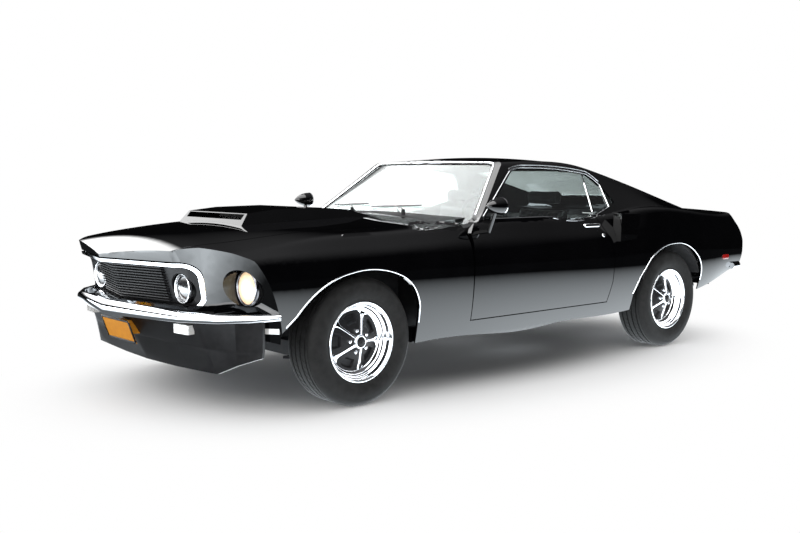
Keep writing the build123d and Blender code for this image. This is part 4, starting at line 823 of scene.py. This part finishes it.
def block_mesh(blocks_around):
    """One pitch of tread: a raised, slightly slanted block on each rib and a lug on each shoulder."""
    pitch = math.tau / blocks_around
    edges = [-tread_half, *[e for line in groove_lines for e in (line - groove_half, line + groove_half)],
             tread_half]
    bands = [(edges[k], edges[k + 1]) for k in range(0, len(edges), 2)]
    points, faces = [], []
    for band, (low, high) in enumerate(bands):
        slant = 0.22 * pitch * (1 if band % 2 else -1)
        for y, shift in ((low + 0.0008, -slant), (high - 0.0008, slant)):
            for angle in (0.08 * pitch + shift, 0.90 * pitch + shift):
                for radius in (crown(y) - 0.001, crown(y) + 0.0014):
                    points.append((radius * math.cos(angle), y, radius * math.sin(angle)))
        base = band * 8
        faces += [(base + a, base + b, base + c, base + d) for a, b, c, d in
                  ((1, 3, 7, 5), (0, 2, 3, 1), (4, 5, 7, 6), (0, 1, 5, 4), (2, 6, 7, 3), (0, 4, 6, 2))]
    return outward(mesh_from("blocks", points, faces, 20.0))


blocks_around = 64
tyre_section = tyre_profile()
print("tyre section points:", len(tyre_section), "blocks around:", blocks_around)

# %% Build the four wheels
for name, (x, side) in wheel_centres.items():
    body = name + "_wheel"
    settle(link(name + "_rim", placed(turned_mesh("rim", rim_profile), x, side)), chrome, body,
           slots[body], body)
    parts = [
        ("centre", turned_mesh("centre", centre_profile, 240, wave=window_sink), pocket_black),
        ("cap", turned_mesh("cap", cap_profile, 48), pocket_black),
        ("cap_ring", turned_mesh("cap_ring", cap_ring_profile, 64), chrome),
        ("spokes", copies(turned, spoke_mesh(), chrome, Count=5, First_angle=-first_spoke), chrome),
        ("nuts", copies(turned, nut_mesh(), chrome, Count=5, First_angle=math.tau / 10 - first_spoke),
         chrome),
    ]
    for label, mesh, material in parts:
        settle(link(name + "_" + label, placed(mesh, x, side)), material, body, slots[body])
    carcass = turned_mesh("carcass", tyre_section, 180, sharp=34.0)
    settle(link(name + "_tyre_carcass", placed(carcass, x, side)), rubber, body, slots[name + "_tyre"],
           name + "_tyre")
    tread = copies(turned, block_mesh(blocks_around), rubber, Count=blocks_around, First_angle=0.0)
    settle(link(name + "_tread", placed(tread, x, side)), rubber, body, slots[name + "_tyre"])
print("wheels:", len(wheel_centres))


# %% [markdown]
# ## Bright lines
# Thin chrome lines draw this car: the arch lips, the surrounds of the windshield and windows, the
# drip rails. Each is a half-oval strip swept along a line dropped on to the skin by ray casting, so
# it follows the panel wherever the panel goes.

# %% Lines in side view
arch_lines = {
    "front": [(-0.478, 0.448), (-0.424, 0.500), (-0.278, 0.628, "arc"), (-0.105, 0.686),
              (0.060, 0.694, "arc"), (0.215, 0.655), (0.310, 0.582, "arc"), (0.350, 0.490),
              (0.350, 0.400)],
    "rear": [(2.276, 0.400), (2.340, 0.510), (2.440, 0.618), (2.582, 0.690, "arc"), (2.740, 0.712),
             (2.900, 0.690, "arc"), (3.020, 0.622), (3.090, 0.530, "arc"), (3.098, 0.440)],
}
window_line = [(0.965, 0.930), (1.362, 1.198), (1.425, 1.212, "arc"), (1.500, 1.215),
               (1.800, 1.208, "arc"), (2.080, 1.180), (2.186, 1.106, "arc"), (2.252, 1.000),
               (1.985, 0.930)]
drip_line = [(1.350, 1.212), (1.425, 1.231, "arc"), (1.500, 1.236), (1.800, 1.230, "arc"),
             (2.085, 1.202), (2.205, 1.122, "arc"), (2.270, 1.020)]


def side_curve(rows, steps=12):
    """Side-view points (x, z) of a line whose rows may be the middle of an arc."""
    points = []
    for index, row in enumerate(rows):
        if len(row) == 3:
            continue
        if index + 2 < len(rows) and len(rows[index + 1]) == 3:
            points += arc_through(row, rows[index + 1][:2], rows[index + 2][:2], steps)
        else:
            points.append(row)
    return np.array([(front_axle_x + station, z) for station, z in points])


def grown(line, amount, centre):
    """The line moved away from a centre, square to itself."""
    along = np.gradient(line, axis=0)
    normals = np.stack([along[:, 1], -along[:, 0]], axis=1)
    normals /= np.linalg.norm(normals, axis=1, keepdims=True)
    away = np.sign(((line - np.array(centre)) * normals).sum(axis=1))
    return line + normals * away[:, None] * amount


def strip(name, found, width, height, body="body"):
    """A chrome strip on places and normals found on a skin."""
    settle(link(name, strip_mesh(name, *found, width, height)), chrome, body, "chrome")


flank = surface_of("front_fenders", "rocker_panels", "quarter_panels")
house = surface_of("roof")
for hand, side in (("left", -1), ("right", 1)):
    for place_name, rows in arch_lines.items():
        centre = (-1.395 if place_name == "front" else 1.348, axle_height)
        line = grown(side_curve(rows), 0.0045, centre)
        strip(hand + "_" + place_name + "_arch_lip", side_line(flank, line, side), 0.0075, 0.0032)
    frame_line = grown(side_curve(window_line), 0.006, (0.35, 1.08))
    strip(hand + "_window_surround", side_line(house, frame_line, side, 0.008), 0.010, 0.004)
    strip(hand + "_drip_rail", side_line(house, side_curve(drip_line), side, 0.008), 0.009, 0.006)
print("arch lips, window surrounds and drip rails:", 8)

# %% Windshield and rear window surrounds
def dropped(tree, starts, direction):
    """Places and normals where parallel rays from the starts first meet a skin."""
    found = [hit(tree, start, direction) for start in starts]
    found = [f for f in found if f]
    return [f[0] for f in found], [f[1] for f in found]


screen_skin = surface_of("roof", "windshield")
screen_half = [(0.724, 0.945), (0.548, 1.234), (0.535, 1.246), (0.503, 1.2505), (0.0, 1.2545)]
screen_line = screen_half + [(-y, z) for y, z in reversed(screen_half[:-1])]
starts = [(-1.6, y, z) for y, z in resampled(screen_line, 0.010)]
strip("windshield_surround", dropped(screen_skin, starts, (1, 0, 0)), 0.014, 0.005)
back_skin = surface_of("roof", "rear_window", "rear_deck")
back_half = [(0.814, 0.0), (0.814, 0.509), (0.846, 0.533), (1.630, 0.553), (1.630, 0.0)]
back_line = back_half + [(x, -y) for x, y in reversed(back_half[1:-1])] + [back_half[0]]
starts = [(x, y, 1.8) for x, y in resampled(back_line, 0.012)]
strip("rear_window_surround", dropped(back_skin, starts, (0, 0, -1)), 0.012, 0.004)
stations = [front_axle_x + row[0] for row in body_rows]
crests = [row[2] for row in body_rows]
for hand, side in (("left", -1), ("right", 1)):
    door_skin = surface_of(hand + "_door")
    starts = [(x, side * (np.interp(x, stations, crests) - 0.001), 1.3)
              for x in np.linspace(-0.372, 0.575, 96)]
    strip(hand + "_belt_strip", dropped(door_skin, starts, (0, 0, -1)), 0.009, 0.005, hand + "_door")
    bar_line = [(front_axle_x + 1.966, 0.944), (front_axle_x + 2.036, 1.172)]
    glass_skin = surface_of("roof", hand + "_door_glass", "quarter_windows")
    strip(hand + "_window_bar", side_line(glass_skin, bar_line, side, 0.01), 0.011, 0.005)
print("surrounds and belt strips done")

# %% [markdown]
# ## Door handles, locks and mirror glass
# A flat-topped pull handle sits in the upper flank with a round lock button behind and below it.

# %% Handles, locks, mirror glass
def oval_ring(x, y, z, half_deep, half_high, count=20, square=3.0):
    """A rounded-square ring in the YZ plane."""
    ring = []
    for k in range(count):
        angle = math.tau * k / count
        c, s = math.cos(angle), math.sin(angle)
        ring.append((x, y + half_deep * math.copysign(abs(c) ** (2 / square), c),
                     z + half_high * math.copysign(abs(s) ** (2 / square), s)))
    return ring


def disc_on(name, place, normal, radius, height, steps=40):
    """A low domed button standing on a place along its normal."""
    profile = [(0.0005, height), (0.55 * radius, 0.96 * height), (0.9 * radius, 0.75 * height),
               (radius, 0.35 * height), (radius, -0.002), (0.0005, -0.002)]
    mesh = turned_mesh(name, profile, steps, sharp=50.0)
    turn = Vector((0, 1, 0)).rotation_difference(Vector(normal)).to_matrix().to_4x4()
    mesh.transform(Matrix.Translation(Vector(place)) @ turn)
    return mesh


for hand, side in (("left", -1), ("right", 1)):
    door_skin = surface_of(hand + "_door")
    body = hand + "_door"
    rings = []
    for share in np.linspace(0, 1, 25):
        x = front_axle_x + 1.796 + 0.160 * share
        place, _ = hit(door_skin, (x, side * 1.5, 0.862), (0, -side, 0))
        end = min(share, 1 - share)
        proud = 0.004 + 0.016 * min(1.0, end / 0.16) ** 0.5
        high = 0.005 + 0.0075 * min(1.0, end / 0.10) ** 0.5
        rings.append(oval_ring(x, place.y + side * proud * 0.5, 0.862, proud * 0.5 + 0.001, high))
    settle(link(hand + "_handle", lofted("handle", rings)), chrome, body, "chrome")
    found = hit(door_skin, (front_axle_x + 1.950, side * 1.5, 0.800), (0, -side, 0))
    settle(link(hand + "_lock", disc_on("lock", found[0], found[1], 0.0125, 0.005)), chrome, body,
           "chrome")
    glass = disc_on("mirror", (front_axle_x + 0.9652, side * 0.905, 1.0), (1, 0, 0), 0.0455, 0.0012)
    settle(link(hand + "_mirror_face", glass), mirror_glass, body, "chrome")
    ring_profile = [(0.0450, 0.0005), (0.0462, 0.0026), (0.0482, 0.0026), (0.0490, 0.0), (0.0482, -0.004),
                    (0.0455, -0.002)]
    ring = turned_mesh("mirror_ring", ring_profile, 72)
    ring.transform(Matrix.Translation((front_axle_x + 0.965, side * 0.905, 1.0))
                   @ Matrix.Rotation(-math.pi / 2, 4, "Z"))
    settle(link(hand + "_mirror_ring", ring), chrome, body, "chrome")
print("handles, locks and mirrors done")


# %% [markdown]
# ## Lamps
# Each headlamp is a chrome ring round a domed, fluted lens. The outer pair is lit, so its lens is an
# emission that falls from nearly white in the middle to amber at the rim. The inner pair is unlit,
# with a dark glossy lens.

# %% Headlamp finishes
def glowing(name, y, z, radius):
    """A lit lens: pale in the middle, amber at the rim, with the flutes as faint stripes."""
    material = finish(name, (0.9, 0.8, 0.6), (1.0, 0.9, 0.7), (0.05, 0.12), grain=40.0, coat=0.6)
    tree = material.node_tree
    shader = tree.nodes["Principled BSDF"]
    place = add_node(tree, "TexCoord", {}).outputs["Object"]
    centre = add_node(tree, "VectorMath", {0: place, 1: (0, y, z)}, operation="SUBTRACT")
    flat = add_node(tree, "VectorMath", {0: centre.outputs["Vector"], 1: (0, 1 / radius, 1 / radius)},
                    operation="MULTIPLY")
    reach = add_node(tree, "VectorMath", {0: flat.outputs["Vector"]}, operation="LENGTH")
    colour = ramped(tree, reach.outputs["Value"], (0.10, (1.0, 0.97, 0.86)), (1.0, (0.36, 0.19, 0.07)),
                    (0.55, (0.90, 0.72, 0.42)))
    flutes = add_node(tree, "TexWave", {"Vector": place, "Scale": 28.0, "Distortion": 0.6},
                      bands_direction="Y")
    tree.links.new(colour, shader.inputs["Emission Color"])
    tree.links.new(mapped(tree, flutes.outputs["Fac"], 0.0, 1.0, 0.95, 1.6),
                   shader.inputs["Emission Strength"])
    return material


bowl_silver = finish("lamp_bowl", (0.10, 0.10, 0.11), (0.16, 0.16, 0.17), (0.12, 0.25), grain=14.0,
                     metallic=1.0)
dark_lens = finish("unlit_lens", (0.035, 0.037, 0.040), (0.06, 0.062, 0.066), (0.06, 0.12), grain=70.0,
                   bump=0.25, bump_scale=300.0, coat=1.0, coat_roughness=0.02)


# %% Four headlamps
def facing_front(mesh, x, y, z):
    """Turns a mesh made round +Y to face the nose, and moves it to its place."""
    mesh.transform(Matrix.Translation((x, y, z)) @ Matrix.Rotation(math.pi / 2, 4, "Z"))
    return mesh


def lamp_profiles(radius, wide):
    """Ring and lens profiles of a lamp; wide is the ring's breadth."""
    inner = radius - wide
    ring = soft_profile([(inner, 0.004), (inner + 0.3 * wide, 0.010), (radius - 0.25 * wide, 0.009),
                         (radius, 0.001), (radius, -0.010), (inner, -0.010)])
    lens = [(0.0005, 0.0165), (0.25 * inner, 0.0158), (0.5 * inner, 0.0132), (0.75 * inner, 0.0090),
            (0.93 * inner, 0.0048), (inner + 0.001, 0.0020), (inner + 0.001, -0.004), (0.0005, -0.004)]
    return ring, lens


lamp_places = [("outer", front_axle_x - 0.622, 0.770, 0.641, 0.0872, 0.0130),
               ("inner", front_axle_x - 0.776, 0.448, 0.623, 0.0728, 0.0075)]
for hand, side in (("left", -1), ("right", 1)):
    for kind, x, y, z, radius, wide in lamp_places:
        ring, lens = lamp_profiles(radius, wide)
        ring_piece = link(f"{hand}_{kind}_lamp_ring", facing_front(turned_mesh("ring", ring, 96), x,
                                                                  side * y, z))
        nodes = ("headlamps",) if kind == "outer" and side < 0 else ()
        settle(ring_piece, chrome if kind == "inner" else bowl_silver, "body", "chrome", *nodes)
        lens_piece = link(f"{hand}_{kind}_lens", facing_front(turned_mesh("lens", lens, 96), x,
                                                             side * y, z))
        shade = glowing(f"{hand}_lit_lens", side * y, z, radius - wide) if kind == "outer" else dark_lens
        settle(lens_piece, shade, "body", "lamp_glass")
        can = [(radius - 0.001, -0.008), (radius - 0.012, -0.030), (0.5 * radius, -0.052),
               (0.0005, -0.053), (0.0005, -0.049), (0.5 * radius - 0.004, -0.048),
               (radius - 0.017, -0.026), (radius - 0.006, -0.008)]
        can_piece = link(f"{hand}_{kind}_can", facing_front(turned_mesh("can", can, 64), x, side * y, z))
        settle(can_piece, grille_black, "body", "lamp_glass")
print("headlamps:", 4)

# %% Markers, rear lamps, plate, wipers, side scoops
small_parts = {"front_markers": clear_lens, "rear_lamps": red_lens, "front_plate": plate_orange,
               "wipers": satin_black, "side_scoops": lacquer}
for name, material in small_parts.items():
    settle(link(name + "_skin", smooth_copy(name)), material, "body", slots[name], name)


def bar_between(name, a, b, half_wide, half_high, count=12):
    """A slim rounded bar between two places."""
    a, b = Vector(a), Vector(b)
    along = (b - a).normalized()
    side = along.cross(Vector((0, 0, 1))).normalized()
    lift = side.cross(along).normalized()
    rings = []
    for place, share in ((a, 0.6), (a.lerp(b, 0.03), 1.0), (a.lerp(b, 0.97), 1.0), (b, 0.6)):
        rings.append([place + side * (math.cos(t) * half_wide * share)
                      + lift * (math.sin(t) * half_high * share)
                      for t in (math.tau * k / count for k in range(count))])
    return lofted(name, rings, 50.0)


plate_skin = surface_of("front_plate")
low_corner, high_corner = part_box("front_plate")
frame_inset = 0.004
plate_y = high_corner[1] - frame_inset
plate_top, plate_foot = high_corner[2] - frame_inset, low_corner[2] + frame_inset
corners = []
for y, z in ((-plate_y, plate_top), (plate_y, plate_top), (plate_y, plate_foot), (-plate_y, plate_foot)):
    corners.append(hit(plate_skin, (-3.0, y, z), (1, 0, 0))[0])
for index in range(4):
    settle(link(f"plate_frame_{index}", bar_between("edge", corners[index], corners[(index + 1) % 4],
                                                    0.005, 0.005)), satin_black, "body", "black_paint")
screen_tree = surface_of("windshield", "roof", "cowl")
for index, (foot_y, tip_y) in enumerate(((-0.330, 0.100), (0.150, 0.560))):
    foot = Vector((front_axle_x + 0.742, foot_y, 0.972))
    places = []
    for share in (0.0, 0.5, 1.0):
        y = foot_y + 0.02 + (tip_y - foot_y) * share
        above = hit(screen_tree, (-1.4, y, 0.985 - 0.018 * share), (1, 0, 0))
        places.append(above[0] + above[1] * 0.010)
    settle(link(f"wiper_arm_{index}", bar_between("arm", foot, places[1], 0.005, 0.0035)), steel, "body",
           "chrome")
    settle(link(f"wiper_blade_{index}", bar_between("blade", places[0], places[2], 0.004, 0.006)),
           steel, "body", "chrome")
marker_skin = surface_of("quarter_panels")
for hand, side in (("left", -1), ("right", 1)):
    rings = []
    for share in np.linspace(0, 1, 9):
        x = front_axle_x + 3.392 + 0.098 * share
        place, _ = hit(marker_skin, (x, side * 1.5, 0.587), (0, -side, 0))
        end = min(1.0, min(share, 1 - share) / 0.12) ** 0.5
        rings.append(oval_ring(x, place.y + side * 0.002, 0.587, 0.003 + 0.005 * end,
                               0.010 + 0.008 * end))
    settle(link(hand + "_rear_marker", lofted("marker", rings)), red_lens, "body", "red_lens")
print("small parts done")

# %% [markdown]
# ## Cabin
# Seen through the glass: a ribbed black dash, a thin-rimmed wheel with three spokes, and bucket
# seats with headrests. The seats are padded for real. Each pad starts a little smaller than its
# solid, is remeshed into even squares, and a cloth simulation blows it up from inside, so its
# corners pull in and its faces crown. Pleats are pressed in afterwards.

# %% Steering wheel
settle(link("steering_wheel_skin", smooth_copy("steering_wheel")), plastic, "steering_wheel",
       slots["steering_wheel"], "steering_wheel")


# %% Padding
def even_mesh(name, outline, y_low, y_high, voxel):
    """A block between two y values on a side outline, remeshed into even squares and rounded."""
    count = len(outline)
    points = [(x, y, z) for y in (y_low, y_high) for x, z in outline]
    faces = [(k, (k + 1) % count, count + (k + 1) % count, count + k) for k in range(count)]
    faces += [tuple(range(count)), tuple(range(count, 2 * count))]
    carrier = link("carrier", outward(mesh_from(name, points, faces)))
    remesh = carrier.modifiers.new("voxels", "REMESH")
    remesh.mode = "VOXEL"
    remesh.voxel_size = voxel
    bpy.context.view_layer.update()
    mesh = bpy.data.meshes.new_from_object(
        carrier.evaluated_get(bpy.context.evaluated_depsgraph_get()))
    bpy.data.objects.remove(carrier)
    work = bmesh.new()
    work.from_mesh(mesh)
    for _ in range(10):
        bmesh.ops.smooth_vert(work, verts=work.verts, factor=0.5, use_axis_x=True, use_axis_y=True,
                              use_axis_z=True)
    work.to_mesh(mesh)
    work.free()
    return mesh


def blown_up(piece, pressure, cap):
    """Inflates a closed piece with a cloth simulation and keeps no point further than the cap."""
    cloth = piece.modifiers.new("padding", "CLOTH")
    cloth.settings.use_pressure = True
    cloth.settings.uniform_pressure_force = pressure
    cloth.settings.tension_stiffness = 12.0
    cloth.settings.compression_stiffness = 12.0
    cloth.settings.effector_weights.gravity = 0.0
    cloth.point_cache.frame_start, cloth.point_cache.frame_end = 1, 20
    scene = bpy.context.scene
    for step in range(1, 21):
        scene.frame_set(step)
    evaluated = piece.evaluated_get(bpy.context.evaluated_depsgraph_get())
    blown = [vertex.co.copy() for vertex in evaluated.data.vertices]
    piece.modifiers.remove(cloth)
    scene.frame_set(1)
    for vertex, place in zip(piece.data.vertices, blown):
        move = place - vertex.co
        if move.length > cap:
            move *= cap / move.length
        vertex.co += move


def pleat(piece, y_centre, half_width, test):
    """Presses lengthwise pleats into the faces that pass the test, along their normals."""
    normals = [vertex.normal.copy() for vertex in piece.data.vertices]
    for vertex, normal in zip(piece.data.vertices, normals):
        across = vertex.co.y - y_centre
        if abs(across) < half_width and test(normal):
            groove = abs(math.sin(math.pi * (across + half_width) / 0.036))
            edge = min(1.0, (half_width - abs(across)) / 0.010)
            vertex.co -= normal * (0.0035 * (1 - groove) ** 3 * edge)


def pad(name, outline, y_low, y_high, voxel, cap, fill, pleat_test, *nodes):
    """One padded piece of a seat."""
    outline = [(front_axle_x + station, z) for station, z in outline]
    piece = link(name, even_mesh(name, outline, y_low, y_high, voxel))
    blown_up(piece, 4.0, cap)
    centre = (y_low + y_high) / 2
    if pleat_test:
        pleat(piece, centre, (y_high - y_low) / 2 - 0.065, pleat_test)
    finer = piece.modifiers.new("finer", "SUBSURF")
    finer.levels = finer.render_levels = 1
    bpy.context.view_layer.update()
    piece.data = bpy.data.meshes.new_from_object(
        piece.evaluated_get(bpy.context.evaluated_depsgraph_get()))
    piece.modifiers.clear()
    piece.data.shade_smooth()
    settle(piece, vinyl, "body", "trim_vinyl", *nodes)
    return piece


cushion_outline = [(1.350, 0.330), (1.765, 0.330), (1.790, 0.410), (1.728, 0.535), (1.420, 0.568),
                   (1.350, 0.538)]
back_outline = [(1.812, 0.440), (1.860, 0.470), (1.900, 0.560), (1.968, 0.880), (1.962, 0.960),
                (1.922, 0.960), (1.866, 0.790), (1.806, 0.600)]
head_outline = [(1.925, 0.985), (1.980, 0.990), (1.986, 1.050), (1.956, 1.074), (1.920, 1.046)]
for hand, side in (("left", -1), ("right", 1)):
    low, high = sorted((side * 0.178, side * 0.592))
    nodes = ("front_seats",) if side < 0 else ()
    pad(hand + "_seat_cushion", cushion_outline, low, high, 0.008, 0.016, 0.8,
        lambda n: n.z > 0.6, *nodes)
    pad(hand + "_seat_back", back_outline, low, high, 0.008, 0.016, 0.8, lambda n: n.x < -0.6)
    pad(hand + "_headrest", head_outline, side * 0.385 - 0.125, side * 0.385 + 0.125, 0.006, 0.010,
        0.9, None)
rear_cushion = [(2.096, 0.546), (2.330, 0.546), (2.330, 0.596), (2.225, 0.622), (2.096, 0.640)]
rear_back = [(2.272, 0.660), (2.330, 0.625), (2.334, 0.838), (2.300, 0.846), (2.278, 0.720)]
pad("rear_seat_cushion", rear_cushion, -0.574, 0.574, 0.009, 0.012, 0.8, lambda n: n.z > 0.6,
    "rear_seat")
pad("rear_seat_back", rear_back, -0.574, 0.574, 0.009, 0.012, 0.8, lambda n: n.x < -0.6)
print("padded pieces:", 8)


# %% [markdown]
# ## Floor and world
# Black lacquer shows nothing but what stands around it, so this setting is built for the lacquer and
# for one view. It isn't a plain studio. Rays that have been mirrored meet another floor and another
# sky than the rest: a floor that gives out light beside the car and far in front of it, and a dark
# sky with one bright wall ahead of the nose and one on the far side. The camera and the panes of
# glass see plain white.

# %% Floor
floor_half = 14.0
floor_mesh = mesh_from("floor", [(-floor_half, -floor_half, 0), (floor_half, -floor_half, 0),
                                 (floor_half, floor_half, 0), (-floor_half, floor_half, 0)],
                       [(0, 1, 2, 3)])
floor = link("floor", floor_mesh)
floor_finish, ground, floor_shader = node_material("pale_floor")
floor_shader.inputs["Roughness"].default_value = 0.9
floor.data.materials.append(floor_finish)

# The floor fades into pure white away from the car, so that no horizon shows, and its colour is
# darkened under the car as a painted shadow.
place = add_node(ground, "TexCoord", {}).outputs["Object"]
squeezed = add_node(ground, "VectorMath", {0: place, 1: (0.62, 1.0, 0.0)}, operation="MULTIPLY")
reach = add_node(ground, "VectorMath", {0: squeezed.outputs["Vector"]}, operation="LENGTH").outputs["Value"]
# Painted shadow: the floor's base colour falls from 0.88 to 0.22 near and under the car.
painted_shadow_under_car = mapped(ground, reach, 0.55, 1.15, 0.22, 0.88, "SMOOTHSTEP")
ground.links.new(painted_shadow_under_car, floor_shader.inputs["Base Color"])
seen_floor = add_node(ground, "MixShader", {
    "Fac": mapped(ground, reach, 1.0, 1.9, interpolation="SMOOTHSTEP"),
    1: floor_shader.outputs["BSDF"], 2: add_node(ground, "Emission", {}).outputs["Emission"]})


# %% What the lacquer mirrors of the floor
def math_node(tree, operation, one, other, **settings):
    """The result of one Math node on two values."""
    return add_node(tree, "Math", {0: one, 1: other}, operation=operation, **settings).outputs[0]


def mirrored_share(tree):
    """1 for a ray that a surface has mirrored, and 0 for the camera's, a pane's or a diffuse one."""
    ray = add_node(tree, "LightPath", {})
    return math_node(tree, "SUBTRACT", ray.outputs["Glossy Depth"], ray.outputs["Is Diffuse Ray"],
                     use_clamp=True)


station = add_node(ground, "SeparateXYZ", {0: place}).outputs["X"]
beside = math_node(ground, "MULTIPLY", mapped(ground, reach, 1.2, 4.4, 5.0, 0.02),
                   mapped(ground, station, -2.25, -1.6, 0.04, 1.0))
far_front = mapped(ground, station, -2.75, -4.2, 0.0, 11.0)
glint = add_node(ground, "Emission", {"Color": (0.88, 0.95, 1.0, 1),
                                      "Strength": math_node(ground, "ADD", beside, far_front)})
whole_floor = add_node(ground, "MixShader", {
    "Fac": mirrored_share(ground), 1: seen_floor.outputs["Shader"], 2: glint.outputs["Emission"]})
ground.links.new(whole_floor.outputs["Shader"], ground.nodes["Material Output"].inputs["Surface"])
print("floor", 2 * floor_half, "m")

# %% World
world = bpy.data.worlds.new("studio")
bpy.context.scene.world = world
world.use_nodes = True
sky = world.node_tree
sky.nodes.clear()
aim = add_node(sky, "TexCoord", {}).outputs["Generated"]


def wall(direction, edge, core, power):
    """How strongly the sky shines toward a direction, rising from an edge to a core."""
    toward = add_node(sky, "VectorMath", {0: aim, 1: direction}, operation="DOT_PRODUCT")
    return mapped(sky, toward.outputs["Value"], edge, core, 0.0, power, "SMOOTHSTEP")


front_wall = wall((-0.90, -0.43, 0.08), 0.66, 0.92, 7.0)
far_wall = math_node(sky, "MULTIPLY", wall((-1.0, 0.15, 0.10), -0.165, -0.085, 5.0),
                     wall((0.0, 0.3, 1.0), 0.35, 0.60, 1.0))
height = add_node(sky, "SeparateXYZ", {0: aim}).outputs["Z"]
overhead = ramped(sky, mapped(sky, height, -1.0, 1.0), (0.66, (0.003, 0.003, 0.003)),
                  (0.98, (0.34, 0.34, 0.35)))
shine = add_node(sky, "MixRGB", {"Fac": 1.0, "Color1": overhead,
                                 "Color2": math_node(sky, "ADD", front_wall, far_wall)},
                 blend_type="ADD")
seen = add_node(sky, "Background", {"Color": (1, 1, 1, 1)})
mirrored = add_node(sky, "Background", {"Color": shine.outputs["Color"]})
whole_sky = add_node(sky, "MixShader", {"Fac": mirrored_share(sky), 1: seen.outputs[0],
                                        2: mirrored.outputs[0]})
add_node(sky, "OutputWorld", {"Surface": whole_sky.outputs[0]})


# %% Lamps
def area_light(name, place, target, size, watts):
    """A rectangular soft light at a place, aimed at a target, and hidden from reflections."""
    data = bpy.data.lights.new(name, "AREA")
    data.shape = "RECTANGLE"
    data.size, data.size_y = size
    data.energy = watts
    lamp = bpy.data.objects.new(name, data)
    bpy.context.scene.collection.objects.link(lamp)
    lamp.location = place
    lamp.rotation_euler = (Vector(target) - Vector(place)).to_track_quat("-Z", "Y").to_euler()
    lamp.visible_glossy = False


area_light("softbox", (1.6, 2.0, 3.2), (1.6, 2.0, 0), (3.8, 3.4), 60)
area_light("overhead", (0.0, -0.5, 5.2), (0, 0, 0), (5.0, 2.4), 40)
bpy.context.scene.view_settings.view_transform = "Standard"
